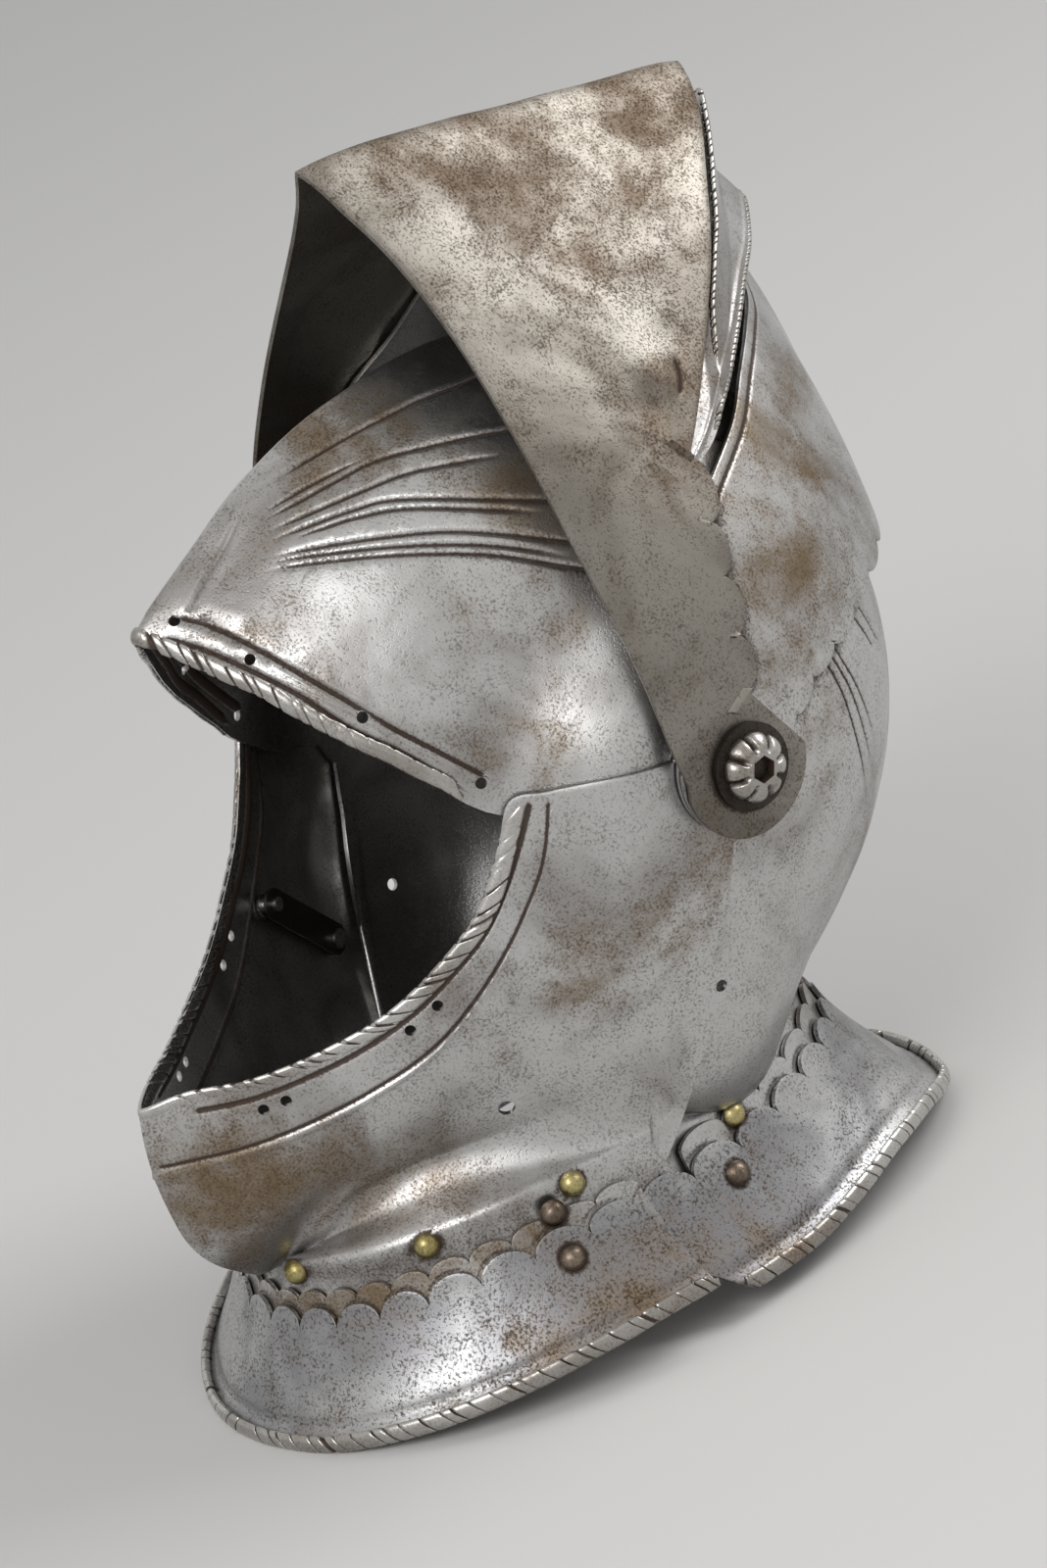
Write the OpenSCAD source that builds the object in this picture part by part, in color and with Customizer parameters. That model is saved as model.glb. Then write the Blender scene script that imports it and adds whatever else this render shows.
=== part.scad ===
// Close helmet with lower bevor, ventail, visor, brow plate and neck plates.
// All the face plates are shells that turn about one line, through the two
// pivots above the ears. A place on a shell is written as a chart point
// [ahead, up]: its length t is 0 at the pivot and 1 on the middle line of the
// helmet, its direction is the direction about the pivot in the side view.

/* [Skull] */
// Half the width of the skull at the pivots
skull_w = 96; // [92:1:102]
// Radius of the side of the skull about the pivots
side_r = 104; // [102:1:108]
// Height of the pivots over the table
pivot_z = 163; // [161:1:166]
// Fullness of the section, 1 for a plain ellipse
full = 0.88; // [0.86:0.01:0.92]
// Height of the comb along the middle line
comb_h = 2.2; // [1:0.1:2.6]

/* [Plates] */
// Thickness of all the plates
sheet = 1.6; // [1.3:0.1:1.7]
// Step from one plate to the next plate over it
pitch = 2.3; // [2.2:0.1:2.6]
// Radius of the round end of each arm
ear_r = 20; // [19:1:22]
// Turned bead along the roped edges
bead = 1; // [0.6:0.1:1.3]

/* [Pivots] */
// Diameter of the pivot bolt
bolt_d = 8; // [7:0.5:10]
// Space all round the bolt in the arms
bolt_gap = 0.06; // [0.03:0.01:0.1]
// Diameter of the petalled rosette
rosette_d = 21; // [19:1:24]
// Number of petals
petals = 10; // [6:1:12]

/* [Neck] */
// Half the width of the neck opening
neck_a = 68; // [66:1:72]
// Half the length of the neck opening
neck_b = 95; // [93:1:98]
// Middle of the neck opening behind the pivots
neck_y = -43; // [-45:1:-41]
// Flare of the gorget plates at the sides
flare = 21; // [19:1:24]
// Width of one scallop on the front plates, in degrees
scallop = 10; // [9:0.5:10]

/* [Rivets] */
// Diameter of the rivet shanks
rivet_d = 3.4; // [3:0.1:4]
// Diameter of the domed rivet heads
head_d = 8; // [7:0.5:9]

/* [Plume holder] */
// Bore of the plume holder
plume_d = 9; // [7:0.5:10]
// Length of the plume holder
plume_l = 40; // [34:1:44]

/* [Hidden] */
$fn = 40;
steel = [0.62, 0.61, 0.60];
dark_steel = [0.5, 0.48, 0.46];
brass = [0.72, 0.6, 0.34];
bronze = [0.42, 0.33, 0.26];
// the middle of the box round the raised helmet lies over the frame origin
mid_y = 23;
flat_t = 0.2;
ear_t = asin(pow((ear_r + 0.1) / side_r, 1 / full)) / 90;

// the side radius of the plates: level 0 is the skull, level 4 the ventail
function level_r(n) = side_r + 0.8 * pitch * n + (n == 1 ? 0.3 : 0);

// radius of each shell on the middle line against the direction, outer face
SKULL = [[-110, 122], [-90, 150], [-75, 152], [-60, 150], [-30, 145], [0, 142],
    [33, 144], [45, 133], [60, 126], [76, 120], [100, 117], [125, 116],
    [150, 114], [180, 110], [200, 106], [215, 104], [235, 110], [250, 122]];
BEVOR = [[-120, 130], [-100, 150], [-80, 155], [-60, 160], [-50, 172],
    [-42, 183], [-32, 192], [-22, 181], [-14, 168], [0, 158], [20, 150]];
BROW = [[20, 158], [120, 158], [132, 156], [140, 148], [150, 139], [163, 130],
    [178, 124], [190, 122]];
VISOR = [[60, 173], [100, 173], [112, 175], [122, 176], [125, 179], [127, 193],
    [130.5, 172], [136, 168], [150, 168]];
// the crest of the visor lies further ahead towards its arms: t and degrees
CREST = [[0.5, 9], [0.56, 9], [0.65, 7.5], [0.69, 6.6], [0.73, 5.3], [0.81, 2.9],
    [0.93, 0.8], [1, 0]];
VENT = [[60, 186], [82, 184], [95, 179], [105, 179], [115, 185], [125, 198],
    [140, 198]];

// how much the cheeks of the skull and bevor are drawn in, against direction
PINCH = [[-75, 0], [-50, 0.03], [-20, 0.14], [10, 0.17], [60, 0.17], [100, 0.05],
    [140, 0]];

function smooth(x) = let (u = min(1, max(0, x))) u * u * (3 - 2 * u);
function mix(a, b, u) = a + (b - a) * u;
function turned(f) = f > 250 ? f - 360 : f;
function polar(c) = [norm(c), atan2(c[1], c[0])];
function chart(t, f) = [t * cos(f), t * sin(f)];

// a point of a shell: t and direction, table, level, depth under the face
function skin(t, f, tab, n, d, ridge = 0, slide = 0) = let (
    g = turned(f),
    down = (g > 180 ? g - 360 : g) + 80,
    k = smooth(abs(down) / (down > 0 ? 42 : 36)),
    s = pow(sin(90 * t), full),
    c = pow(max(0, cos(90 * t)), full),
    h = mix(s * smooth((t - 0.12) / 0.25), pow(max(0, t - flat_t) / (1 - flat_t), 2), k),
    in = n > 1 ? 0 : (n == 0 ? 1.06 : 1) * lookup(g, PINCH) * smooth((t - (n == 0 ? 0.13 : 0.15)) / 0.25),
    base = level_r(n) - d,
    top = lookup(g + slide, tab) - d + ridge * smooth((t - 0.93) / 0.07) * smooth((205 - f) / 15),
    r = base * s + (top - base) * h
) [(skull_w + pitch * n - d) * c * (1 - in), -r * cos(f), r * sin(f)];

// the neck: angle from the front, v = 0 at the neck, 1 at the roped rim
NECK_Z = [[0, -121], [25, -118], [45, -114], [65, -111], [110, -110],
    [150, -107], [180, -107]];
FRONT_Z = [[0, -163], [20, -163], [40, -158.5], [50, -155.5], [65, -150.5],
    [78, -147], [110, -145]];
REAR_Z = [[70, -155], [105, -155], [115, -152], [125, -149], [137, -150],
    [150, -156], [162, -163], [180, -163]];
function neck(q, v, off, rim) = let (
    p = (v < 0 ? -0.25 : 1) * pow(abs(v), 1.5),
    a = neck_a + flare * p + off,
    b = neck_b + (q < 90 ? flare : flare + 16 * smooth((q - 90) / 60)) * p + off,
    z = mix(lookup(q, NECK_Z), lookup(q, rim) + 163 - pivot_z, v)
) [a * sin(q), neck_y - b * cos(q), z];

// a smooth line through control points, u from 0 to the last index
function through(p, u) = let (
    i = min(len(p) - 2, floor(u)),
    f = u - i,
    a = p[max(0, i - 1)],
    b = p[i],
    c = p[i + 1],
    d = p[min(len(p) - 1, i + 2)]
) 0.5 * (2 * b + (c - a) * f + (2 * a - 5 * b + 4 * c - d) * f * f
    + (3 * b - a - 3 * c + d) * f * f * f);
function sampled(p, n) = [for (i = [0 : n]) through(p, i * (len(p) - 1) / n)];
// round scallops between cusps, n steps in each
function scalloped(p, n, high) = [for (i = [0 : len(p) - 2], j = [0 : n - 1])
    let (e = p[i + 1] - p[i], u = j / n)
    p[i] + e * u + high * [e[1], -e[0]] * sqrt(max(0, 1 - pow(2 * u - 1, 2)))];

// one solid sheet from an outer and an inner grid of the left half; the last
// line of each grid lies on the middle line and is shared by both halves
module both_halves(outer, inner) {
    n = len(outer) - 1;
    m = len(outer[0]);
    rows = 2 * n + 1;
    function at(g, i) = i <= n ? g[i] : [for (p = g[2 * n - i]) [-p[0], p[1], p[2]]];
    points = [for (g = [outer, inner], i = [0 : rows - 1], p = at(g, i)) p];
    function id(k, i, j) = k * rows * m + i * m + j;
    faces = [
        for (i = [0 : rows - 2], j = [0 : m - 2]) each [
            [id(0, i, j), id(0, i, j + 1), id(0, i + 1, j)],
            [id(0, i, j + 1), id(0, i + 1, j + 1), id(0, i + 1, j)],
            [id(1, i, j), id(1, i + 1, j), id(1, i, j + 1)],
            [id(1, i, j + 1), id(1, i + 1, j), id(1, i + 1, j + 1)]],
        for (i = [0 : rows - 2]) each [
            [id(0, i, 0), id(0, i + 1, 0), id(1, i, 0)],
            [id(1, i, 0), id(0, i + 1, 0), id(1, i + 1, 0)],
            [id(0, i, m - 1), id(1, i, m - 1), id(0, i + 1, m - 1)],
            [id(1, i, m - 1), id(1, i + 1, m - 1), id(0, i + 1, m - 1)]],
        for (j = [0 : m - 2]) each [
            [id(0, 0, j), id(1, 0, j), id(0, 0, j + 1)],
            [id(1, 0, j), id(1, 0, j + 1), id(0, 0, j + 1)],
            [id(0, rows - 1, j), id(0, rows - 1, j + 1), id(1, rows - 1, j)],
            [id(1, rows - 1, j), id(0, rows - 1, j + 1), id(1, rows - 1, j + 1)]]];
    polyhedron(points = points, faces = faces, convexity = 8);
}

// a chart grid between a front line and a rear line, cols steps across
function woven(front, rear, cols) = [for (i = [0 : len(front) - 1])
    let (a = front[i], b = rear[i])
    [for (j = [0 : cols]) let (
        l = mix(a, b, j / cols),
        far = smooth((min(norm(a), norm(b)) - 0.25) / 0.3),
        fa = atan2(a[1], a[0]),
        fb = atan2(b[1], b[0]),
        f = mix(atan2(l[1], l[0]), mix(fa, fb, j / cols), far),
        t = mix(norm(l), mix(norm(a), norm(b), j / cols), far)
    ) [t, f]]];
function on_skin(grid, tab, n, d, ridge = 0) =
    [for (row = grid) [for (c = row) skin(c[0], c[1], tab, n, d, ridge)]];

// the round end of an arm: lines from the far tip up to the pivot, on the
// side the arm comes from at direction f
function ear_side(f, side, steps) = [for (i = [0 : steps - 1])
    ear_t * [cos(f + side * (178 - 88 * i / steps)),
        sin(f + side * (178 - 88 * i / steps))]];

module pivot_bores(n, r = bolt_d / 2 + bolt_gap) {
    rotate([0, 90, 0])
        cylinder(h = 2 * (skull_w + pitch * n + 9), r = r, center = true);
}

module placed() {
    translate([0, mid_y, pivot_z])
        children();
}

// ---- skull ----
// edge of the skull in the chart from the nape round the crown to the cheek,
// as [direction, t]; beyond 250 the line is the neck
SKULL_EDGE = [[-66, 0.56], [-65.4, 0.52], [-64.3, 0.45], [-62, 0.36], [-56, 0.24], [-48, 0.165], [-32.7, 0.148],
    [-18, 0.19], [-5, 0.27], [5, 0.345], [9, 0.4], [15, 0.46], [20.5, 0.545],
    [25.5, 0.668], [29.5, 0.785], [31.6, 0.9], [33, 1], [34, 1]];
function skull_t(f) = f < 34 ? lookup(f, SKULL_EDGE)
    : f < 243 ? 1 : lookup(f, [[243, 1], [256, 0.8], [270, 0.66], [285, 0.6], [294, 0.56]]);
SKULL_F = [-66, -65.4, -64.3, -62, -56, -48, -32.7, -18, -5, 5, 9, 15, 20.5, 25.5, 29.5, 31.6, 33,
    for (f = [39 : 8.5 : 226]) f, 234, 239, 241, 243, 249, 256, 263, 270, 278, 286];
SKULL_T = [0, 0.2, 0.36, 0.52, 0.66, 0.78, 0.88, 0.955, 1];
hub_t = 0.012;
// angle round the neck that belongs to a direction in the side view
function neck_of(f) = lookup(f, [[243, 180], [249, 160], [256, 143], [263, 129],
    [270, 117], [278, 105], [286, 95], [294, 87]]);
function skull_ray(f, d) = let (t = skull_t(f), low = f > 238 ? f : f < -65.9 ? f + 360 : 0)
    low == 0 ? [for (u = SKULL_T) skin(mix(hub_t, t, u), f, SKULL, 0, d, comb_h)]
    : let (q = neck_of(low), e = skin(t * 0.93, f, SKULL, 0, d),
        off = -d - 1.2 * smooth((105 - q) / 12),
        turn = q > 179 ? [173, 177, 180] : [q, q, q],
        v = low < 240 ? [-0.24, -0.2, -0.15] : low < 242 ? [-0.16, -0.08, 0.03] : [-0.12, 0.03, 0.3])
    [for (u = [0, 0.2, 0.36, 0.52, 0.66, 0.8]) skin(mix(hub_t, t, u), f, SKULL, 0, d),
        0.35 * e + 0.65 * neck(turn[0], v[0], off, REAR_Z), neck(turn[1], v[1], off, REAR_Z),
        neck(turn[2], v[2], off, REAR_Z)];

module skull_shell() {
    n = len(SKULL_T);
    m = len(SKULL_F);
    rays = [for (d = [0, sheet], f = SKULL_F) skull_ray(f, d)];
    left = [for (r = rays, p = r) p];
    points = concat(left, [for (p = left) [-p[0], p[1], p[2]]]);
    mid = [for (f = SKULL_F) f > 32.9 && f < 243.1];
    function id(s, k, j, i) = (i == n - 1 && mid[j] ? 0 : s * 2 * m * n) + (k * m + j) * n + i;
    function tri(s, a, b, c) = s == 0 ? [a, b, c] : [a, c, b];
    faces = [for (s = [0, 1], j = [0 : m - 1]) let (e = (j + 1) % m) each [
        for (i = [0 : n - 2]) each [
            tri(s, id(s, 0, j, i), id(s, 0, j, i + 1), id(s, 0, e, i)),
            tri(s, id(s, 0, j, i + 1), id(s, 0, e, i + 1), id(s, 0, e, i)),
            tri(s, id(s, 1, j, i), id(s, 1, e, i), id(s, 1, j, i + 1)),
            tri(s, id(s, 1, j, i + 1), id(s, 1, e, i), id(s, 1, e, i + 1))],
        tri(s, id(s, 0, j, 0), id(s, 0, e, 0), id(s, 1, j, 0)),
        tri(s, id(s, 1, j, 0), id(s, 0, e, 0), id(s, 1, e, 0)),
        if (!(mid[j] && mid[e])) each [
            tri(s, id(s, 0, j, n - 1), id(s, 1, j, n - 1), id(s, 0, e, n - 1)),
            tri(s, id(s, 1, j, n - 1), id(s, 1, e, n - 1), id(s, 0, e, n - 1))]]];
    polyhedron(points = points, faces = faces, convexity = 8);
}

// lining holes along the brow
BROW_HOLES = [[0.775, 0.57], [0.674, 0.453], [0.53, 0.286], [0.376, 0.105]];

module skull() {
    color(steel)
        placed()
            difference() {
                skull_shell();
                pivot_bores(0);
                rivet_holes(REAR_LAME_RIVETS, 1, REAR_Z);
                for (side = [-1, 1], c = BROW_HOLES)
                    at_skin(polar(c), SKULL, 0, side)
                        cylinder(h = 12, d = 3.6, center = true, $fn = 20);
                at_nape()
                    for (z = [-1, 13])
                        translate([0, 0, z])
                            rotate([90, 0, 0])
                                cylinder(h = 12, d = 2.5, center = true, $fn = 24);
            }
}

// ---- arms and plates ----
VENT_FRONT = [[0.094, 0.012], [0.108, 0.09], [0.12, 0.24], [0.124, 0.42], [0.113, 0.58],
    [0.102, 0.74], [0.104, 0.86], [0.122, 0.95], [0.139, 0.9903]];
VENT_CUSPS = [[-0.032, 0.096], [-0.05, 0.181], [-0.076, 0.274], [-0.106, 0.354],
    [-0.135, 0.45]];
VENT_REAR = [[-0.135, 0.45], [-0.302, 0.576], [-0.393, 0.643], [-0.474, 0.716],
    [-0.541, 0.778], [-0.559, 0.829]];
module ventail() {
    rear = concat(ear_side(90, 1, 6), scalloped(VENT_CUSPS, 4, -0.3), sampled(VENT_REAR, 9));
    front = concat(ear_side(90, -1, 6), sampled(VENT_FRONT, len(rear) - 7));
    grid = woven(front, rear, 7);
    color(steel)
        placed()
            difference() {
                both_halves(on_skin(grid, VENT, 4, sheet, 3), on_skin(grid, VENT, 4, 0, 3));
                pivot_bores(4);
            }
}

VISOR_FRONT = [[0.045, 0.09], [0.035, 0.2], [0.02, 0.32], [-0.01, 0.43], [-0.07, 0.52],
    [-0.15, 0.6], [-0.23, 0.74], [-0.29, 0.86], [-0.342, 0.9397]];
VISOR_REAR = [[-0.035, 0.085], [-0.05, 0.2], [-0.07, 0.31], [-0.13, 0.42], [-0.22, 0.46],
    [-0.338, 0.527], [-0.43, 0.575], [-0.525, 0.619], [-0.621, 0.652], [-0.719, 0.695]];
module visor() {
    front = concat(ear_side(110, -1, 6), sampled(VISOR_FRONT, 17));
    rear = concat(ear_side(110, 1, 6), sampled(VISOR_REAR, 17));
    grid = woven(front, rear, 12);
    function face(d) = [for (row = grid)
        [for (c = row) skin(c[0], c[1], VISOR, 3, d, 1, lookup(c[0], CREST))]];
    color(steel)
        placed()
            difference() {
                both_halves(face(sheet), face(0));
                pivot_bores(3);
            }
}

BROW_FRONT = [[-0.015, 0.11], [-0.035, 0.22], [-0.07, 0.32], [-0.15, 0.4], [-0.306, 0.478],
    [-0.4, 0.532], [-0.51, 0.582], [-0.62, 0.625], [-0.7193, 0.6947]];
BROW_CUSPS = [[-0.12, 0.02], [-0.18, 0.06], [-0.262, 0.085], [-0.36, 0.112],
    [-0.47, 0.14], [-0.59, 0.158], [-0.72, 0.17], [-0.86, 0.172], [-0.984, 0.178]];
module brow_plate() {
    rear = concat(ear_side(150, 1, 6), scalloped(BROW_CUSPS, 4, -0.18), [BROW_CUSPS[8]]);
    front = concat(ear_side(150, -1, 6), sampled(BROW_FRONT, len(rear) - 7));
    grid = woven(front, rear, 5);
    color(dark_steel)
        placed()
            difference() {
                both_halves(on_skin(grid, BROW, 2, sheet, comb_h),
                    on_skin(grid, BROW, 2, 0, comb_h));
                pivot_bores(2);
            }
}

// the bevor ends below in a neck wall and a short flange
BEVOR_TOP = [[0.09, 0.042], [0.207, 0.058], [0.288, 0.064], [0.345, 0.063],
    [0.385, -0.012], [0.441, -0.1], [0.513, -0.166], [0.598, -0.223],
    [0.692, -0.256], [0.797, -0.278], [0.9, -0.282], [0.956, -0.294]];
BEVOR_REAR = [[0.036, -0.108], [0.07, -0.2], [0.108, -0.285], [0.148, -0.38], [0.172, -0.45]];
BEVOR_LOW = [[0.172, -0.45], [0.24, -0.485], [0.31, -0.51], [0.39, -0.53], [0.47, -0.54],
    [0.56, -0.545], [0.65, -0.58], [0.743, -0.6691]];
// lining holes along the face opening and the strap hole in the cheek
HOLES = [[0.567, -0.259], [0.524, -0.232], [0.781, -0.326], [0.749, -0.32]];
HOOK = [0.443, -0.45];
BEVOR_Q = [86, 80, 73, 64, 53, 39, 20, 0];
function bevor_grid(d) = let (
    rear = concat(ear_side(-30, -1, 5), sampled(BEVOR_REAR, 7),
        [for (i = [1 : 14]) through(BEVOR_LOW, i / 2)]),
    front = concat(ear_side(-30, 1, 5), sampled(BEVOR_TOP, len(rear) - 6)),
    grid = woven(front, rear, 7)
) [for (i = [0 : len(grid) - 1]) let (
    row = [for (c = grid[i]) skin(c[0], c[1], BEVOR, 1, d, 2)]
) i < 12 ? concat(row, [for (u = [-0.1, -0.2, -0.3]) mix(row[7], row[6], u)])
    : let (q = through(BEVOR_Q, (i - 12) / 2), off = pitch - d)
    concat([for (j = [0 : 6]) row[j]],
    [0.55 * row[7] + 0.45 * neck(q, -0.24, off, FRONT_Z),
    neck(q, -0.15, off, FRONT_Z), neck(q, 0.03, off, FRONT_Z), neck(q, 0.26, off, FRONT_Z)])];

module bevor() {
    color(steel)
        placed()
            difference() {
                both_halves(bevor_grid(0), bevor_grid(sheet));
                pivot_bores(1);
                rivet_holes(STUDS, 1, FRONT_Z);
                rivet_holes(LAME_RIVETS, 2, FRONT_Z);
                at_skin(LATCH, BEVOR, 1, -1)
                    cylinder(h = 12, d = latch_d + 0.12, center = true, $fn = 32);
                at_skin(LATCH, BEVOR, 1, -1)
                    rotate([0, 0, latch_turn])
                        translate([leaf_l, 0, 0])
                            cylinder(h = 16, d = rivet_d + 0.1, center = true, $fn = 24);
                for (side = [-1, 1], c = HOLES)
                    at_skin(polar(c), BEVOR, 1, side)
                        cylinder(h = 12, d = 3.6, center = true, $fn = 20);
                at_skin(polar(HOOK), BEVOR, 1, 1)
                    cylinder(h = 12, d = 5, center = true, $fn = 24);
            }
}

// ---- neck plates ----
// a band round the neck from its top line: rows of [angle, top, bottom], level
// over the skull, rim heights, steps down, turn of the end, roped rim or not
function band(list, n, rim, rows, mid, lean, d) = [for (q = list)
    [for (j = [0 : rows]) let (
        v = mix(q[1], q[2], j / rows),
        roll = q[2] > 0.99 && j >= rows - 1 ? (d > 0 ? -0.3 : bead) : 0
    ) neck(mid + (q[0] - mid) * (1 + lean * v), v, pitch * n - d + roll, rim)]];

// top line of scallops from angle a to b, cusps at height low, tips at high
function crown(a, b, count, n, low, high, end) = [for (i = [0 : count * n]) let (
    u = i / n - floor(i / n),
    h = sqrt(max(0, 1 - pow(2 * u - 1, 2)))
) [a + (b - a) * i / (count * n), mix(low, high, i == count * n || i == 0 ? 0.3 : h), end]];

// places of the rivets: angle round the neck and height on the flare
STUDS = [[8, -0.06], [42, -0.06], [71.5, -0.07]];
LAME_RIVETS = [[66.5, 0.06]];
PLATE_RIVETS = [[67, 0.38]];
REAR_LAME_RIVETS = [[106.5, 0.11]];
REAR_PLATE_RIVETS = [[100, 0.4]];

// frame with z along the outward normal at a place on the neck, both sides
module at_neck(spots, n, rim, d = 0) {
    for (s = spots, side = [-1, 1]) {
        p = neck(s[0], s[1], pitch * n - d, rim);
        a = neck(s[0] + 1, s[1], pitch * n - d, rim) - p;
        b = neck(s[0], s[1] + 0.02, pitch * n - d, rim) - p;
        w = cross(b, a);
        m = w / norm(w) * (w[0] > 0 ? 1 : -1);
        translate([side * p[0], p[1], p[2]])
            rotate([0, acos(m[2]), atan2(m[1], side * m[0])])
                children();
    }
}

module rivet_holes(spots, n, rim) {
    at_neck(spots, n, rim)
        cylinder(h = 14, d = rivet_d + 0.1, center = true, $fn = 24);
}

// domed head outside, shank through both sheets, flat peened end inside
module rivet(under, high = 3) {
    translate([0, 0, 0.35])
        rotate_extrude($fn = 28)
            intersection() {
                translate([0, high - ball(high)])
                    circle(r = ball(high), $fn = 48);
                square([head_d, high + 1]);
            }
    translate([0, 0, -under - 1.4])
        cylinder(h = under + 1.9, d = rivet_d, $fn = 24);
    translate([0, 0, -under - 1.7])
        cylinder(h = 1.2, d = rivet_d + 2.2, $fn = 24);
}
function ball(high) = (head_d * head_d / 4 + high * high) / (2 * high);

module front_neck_lame() {
    list = crown(82, 0, 10, 3, 0.15, 0.06, 0.5);
    color(steel)
        placed()
            difference() {
                both_halves(band(list, 2, FRONT_Z, 3, 0, 0.04, 0),
                    band(list, 2, FRONT_Z, 3, 0, 0.04, sheet));
                rivet_holes(LAME_RIVETS, 2, FRONT_Z);
                rivet_holes(PLATE_RIVETS, 3, FRONT_Z);
                at_neck([[80, 0.16]], 2, FRONT_Z)
                    cylinder(h = 8, d = 5, center = true, $fn = 24);
            }
}

module front_gorget_plate() {
    list = crown(80, 0, ceil(80 / scallop), 4, 0.3, 0.15, 1);
    color(dark_steel)
        placed()
            difference() {
                both_halves(band(list, 3, FRONT_Z, 5, 0, 0.07, 0),
                    band(list, 3, FRONT_Z, 5, 0, 0.07, sheet));
                rivet_holes(PLATE_RIVETS, 3, FRONT_Z);
            }
}

module rear_neck_lame() {
    list = crown(93, 180, 8, 3, 0.13, 0.03, 0.5);
    color(steel)
        placed()
            difference() {
                both_halves(band(list, 1, REAR_Z, 3, 180, 0, sheet),
                    band(list, 1, REAR_Z, 3, 180, 0, 0));
                rivet_holes(REAR_LAME_RIVETS, 1, REAR_Z);
                rivet_holes(REAR_PLATE_RIVETS, 2, REAR_Z);
            }
}

module rear_gorget_plate() {
    list = crown(86, 180, 9, 4, 0.3, 0.15, 1);
    color(dark_steel)
        placed()
            difference() {
                both_halves(band(list, 2, REAR_Z, 5, 180, -0.06, sheet),
                    band(list, 2, REAR_Z, 5, 180, -0.06, 0));
                rivet_holes(REAR_PLATE_RIVETS, 2, REAR_Z);
            }
}

module bevor_studs() {
    color(brass)
        placed()
            at_neck(STUDS, 1, FRONT_Z)
                rivet(sheet, 3.6);
}

module front_lame_rivets() {
    color(bronze)
        placed()
            at_neck(LAME_RIVETS, 2, FRONT_Z)
                rivet(pitch + sheet);
}

module front_plate_rivets() {
    color(bronze)
        placed()
            at_neck(PLATE_RIVETS, 3, FRONT_Z)
                rivet(pitch + sheet);
}

module rear_lame_rivets() {
    color(brass)
        placed()
            at_neck(REAR_LAME_RIVETS, 1, REAR_Z)
                rivet(pitch + sheet);
}

module rear_plate_rivets() {
    color(bronze)
        placed()
            at_neck(REAR_PLATE_RIVETS, 2, REAR_Z)
                rivet(pitch + sheet);
}

// ---- pivots ----
stack_x = skull_w + 4 * pitch;
washer_t = 1.6;
rosette_h = 5.5;
module pivot_side(side) {
    placed()
        rotate([0, side * 90, 0])
            children();
}

module pivot_bolt(side) {
    color(dark_steel)
        pivot_side(side) {
            translate([0, 0, skull_w - 9])
                cylinder(h = 4 * pitch + 9 + washer_t + 1.5, d = bolt_d);
            translate([0, 0, stack_x + washer_t + 1.4])
                cylinder(h = 1.6, d = bolt_d - 2, $fn = 6);
        }
}

module washer(side) {
    color(dark_steel)
        pivot_side(side)
            translate([0, 0, stack_x + 0.1])
                difference() {
                    cylinder(h = washer_t, r = rosette_d / 2 + 2.5, $fn = 64);
                    translate([0, 0, -1])
                        cylinder(h = washer_t + 2, r = bolt_d / 2 + bolt_gap);
                }
}

// domed flower with a six-sided recess over the bolt end
module rosette(side) {
    r = rosette_d / 2;
    color(steel)
        pivot_side(side)
            translate([0, 0, stack_x + washer_t + 0.2])
                difference() {
                    rotate_extrude($fn = 60)
                        polygon([[0, 0], [r, 0], [r, 1.4], [0.93 * r, 3], [0.75 * r, 4.7],
                            [0.55 * r, rosette_h], [0, rosette_h]]);
                    for (i = [0 : petals - 1])
                        rotate([0, 0, 360 * (i + 0.5) / petals]) {
                            translate([r + 0.6, 0, -1])
                                cylinder(h = 9, r = 1.7, $fn = 20);
                            translate([0.34 * r, 0, rosette_h + 0.6])
                                rotate([0, 90 + 14, 0])
                                    cylinder(h = r, r = 1.3, $fn = 16);
                        }
                    translate([0, 0, -1])
                        cylinder(h = 3.4 + 1, r = bolt_d / 2 + bolt_gap);
                    translate([0, 0, 2])
                        cylinder(h = 9, d = 7.4, $fn = 6);
                }
}

module pivot_nut(side) {
    color(dark_steel)
        pivot_side(side)
            translate([0, 0, skull_w - sheet - 6.9])
                difference() {
                    cylinder(h = 6, d = bolt_d + 7, $fn = 6);
                    translate([0, 0, -1])
                        cylinder(h = 9, r = bolt_d / 2 + bolt_gap);
                }
}

module left_pivot_bolt() {
    pivot_bolt(1);
}

module right_pivot_bolt() {
    pivot_bolt(-1);
}

module left_washer() {
    washer(1);
}

module right_washer() {
    washer(-1);
}

module left_rosette() {
    rosette(1);
}

module right_rosette() {
    rosette(-1);
}

module left_pivot_nut() {
    pivot_nut(1);
}

module right_pivot_nut() {
    pivot_nut(-1);
}

// ---- latch, inside the right cheek of the bevor ----
// frame with z along the outward normal of a shell, on one side
module at_skin(c, tab, n, side, up = [0, 0, 1]) {
    p = skin(c[0], c[1], tab, n, 0);
    a = skin(c[0] + 0.01, c[1], tab, n, 0) - p;
    b = skin(c[0], c[1] + 1, tab, n, 0) - p;
    w = cross(a, b);
    m = w / norm(w) * (w[0] > 0 ? 1 : -1);
    translate([side * p[0], p[1], p[2]])
        rotate([0, acos(m[2]), atan2(m[1], side * m[0])])
            children();
}

LATCH = [0.48, -29];
latch_d = 4.4;
leaf_t = 1;
leaf_in = 5.4;
module latch_stud() {
    color(steel)
        placed()
            at_skin(LATCH, BEVOR, 1, -1) {
                translate([0, 0, -leaf_in - leaf_t - 1.5])
                    cylinder(h = leaf_in + leaf_t + 3.5, d = latch_d, $fn = 32);
                translate([0, 0, 2])
                    cylinder(h = 0.7, d1 = latch_d, d2 = latch_d - 1.4, $fn = 32);
                translate([0, 0, -sheet - 1.3])
                    cylinder(h = 1, d = latch_d + 3, $fn = 32);
            }
}

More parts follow.
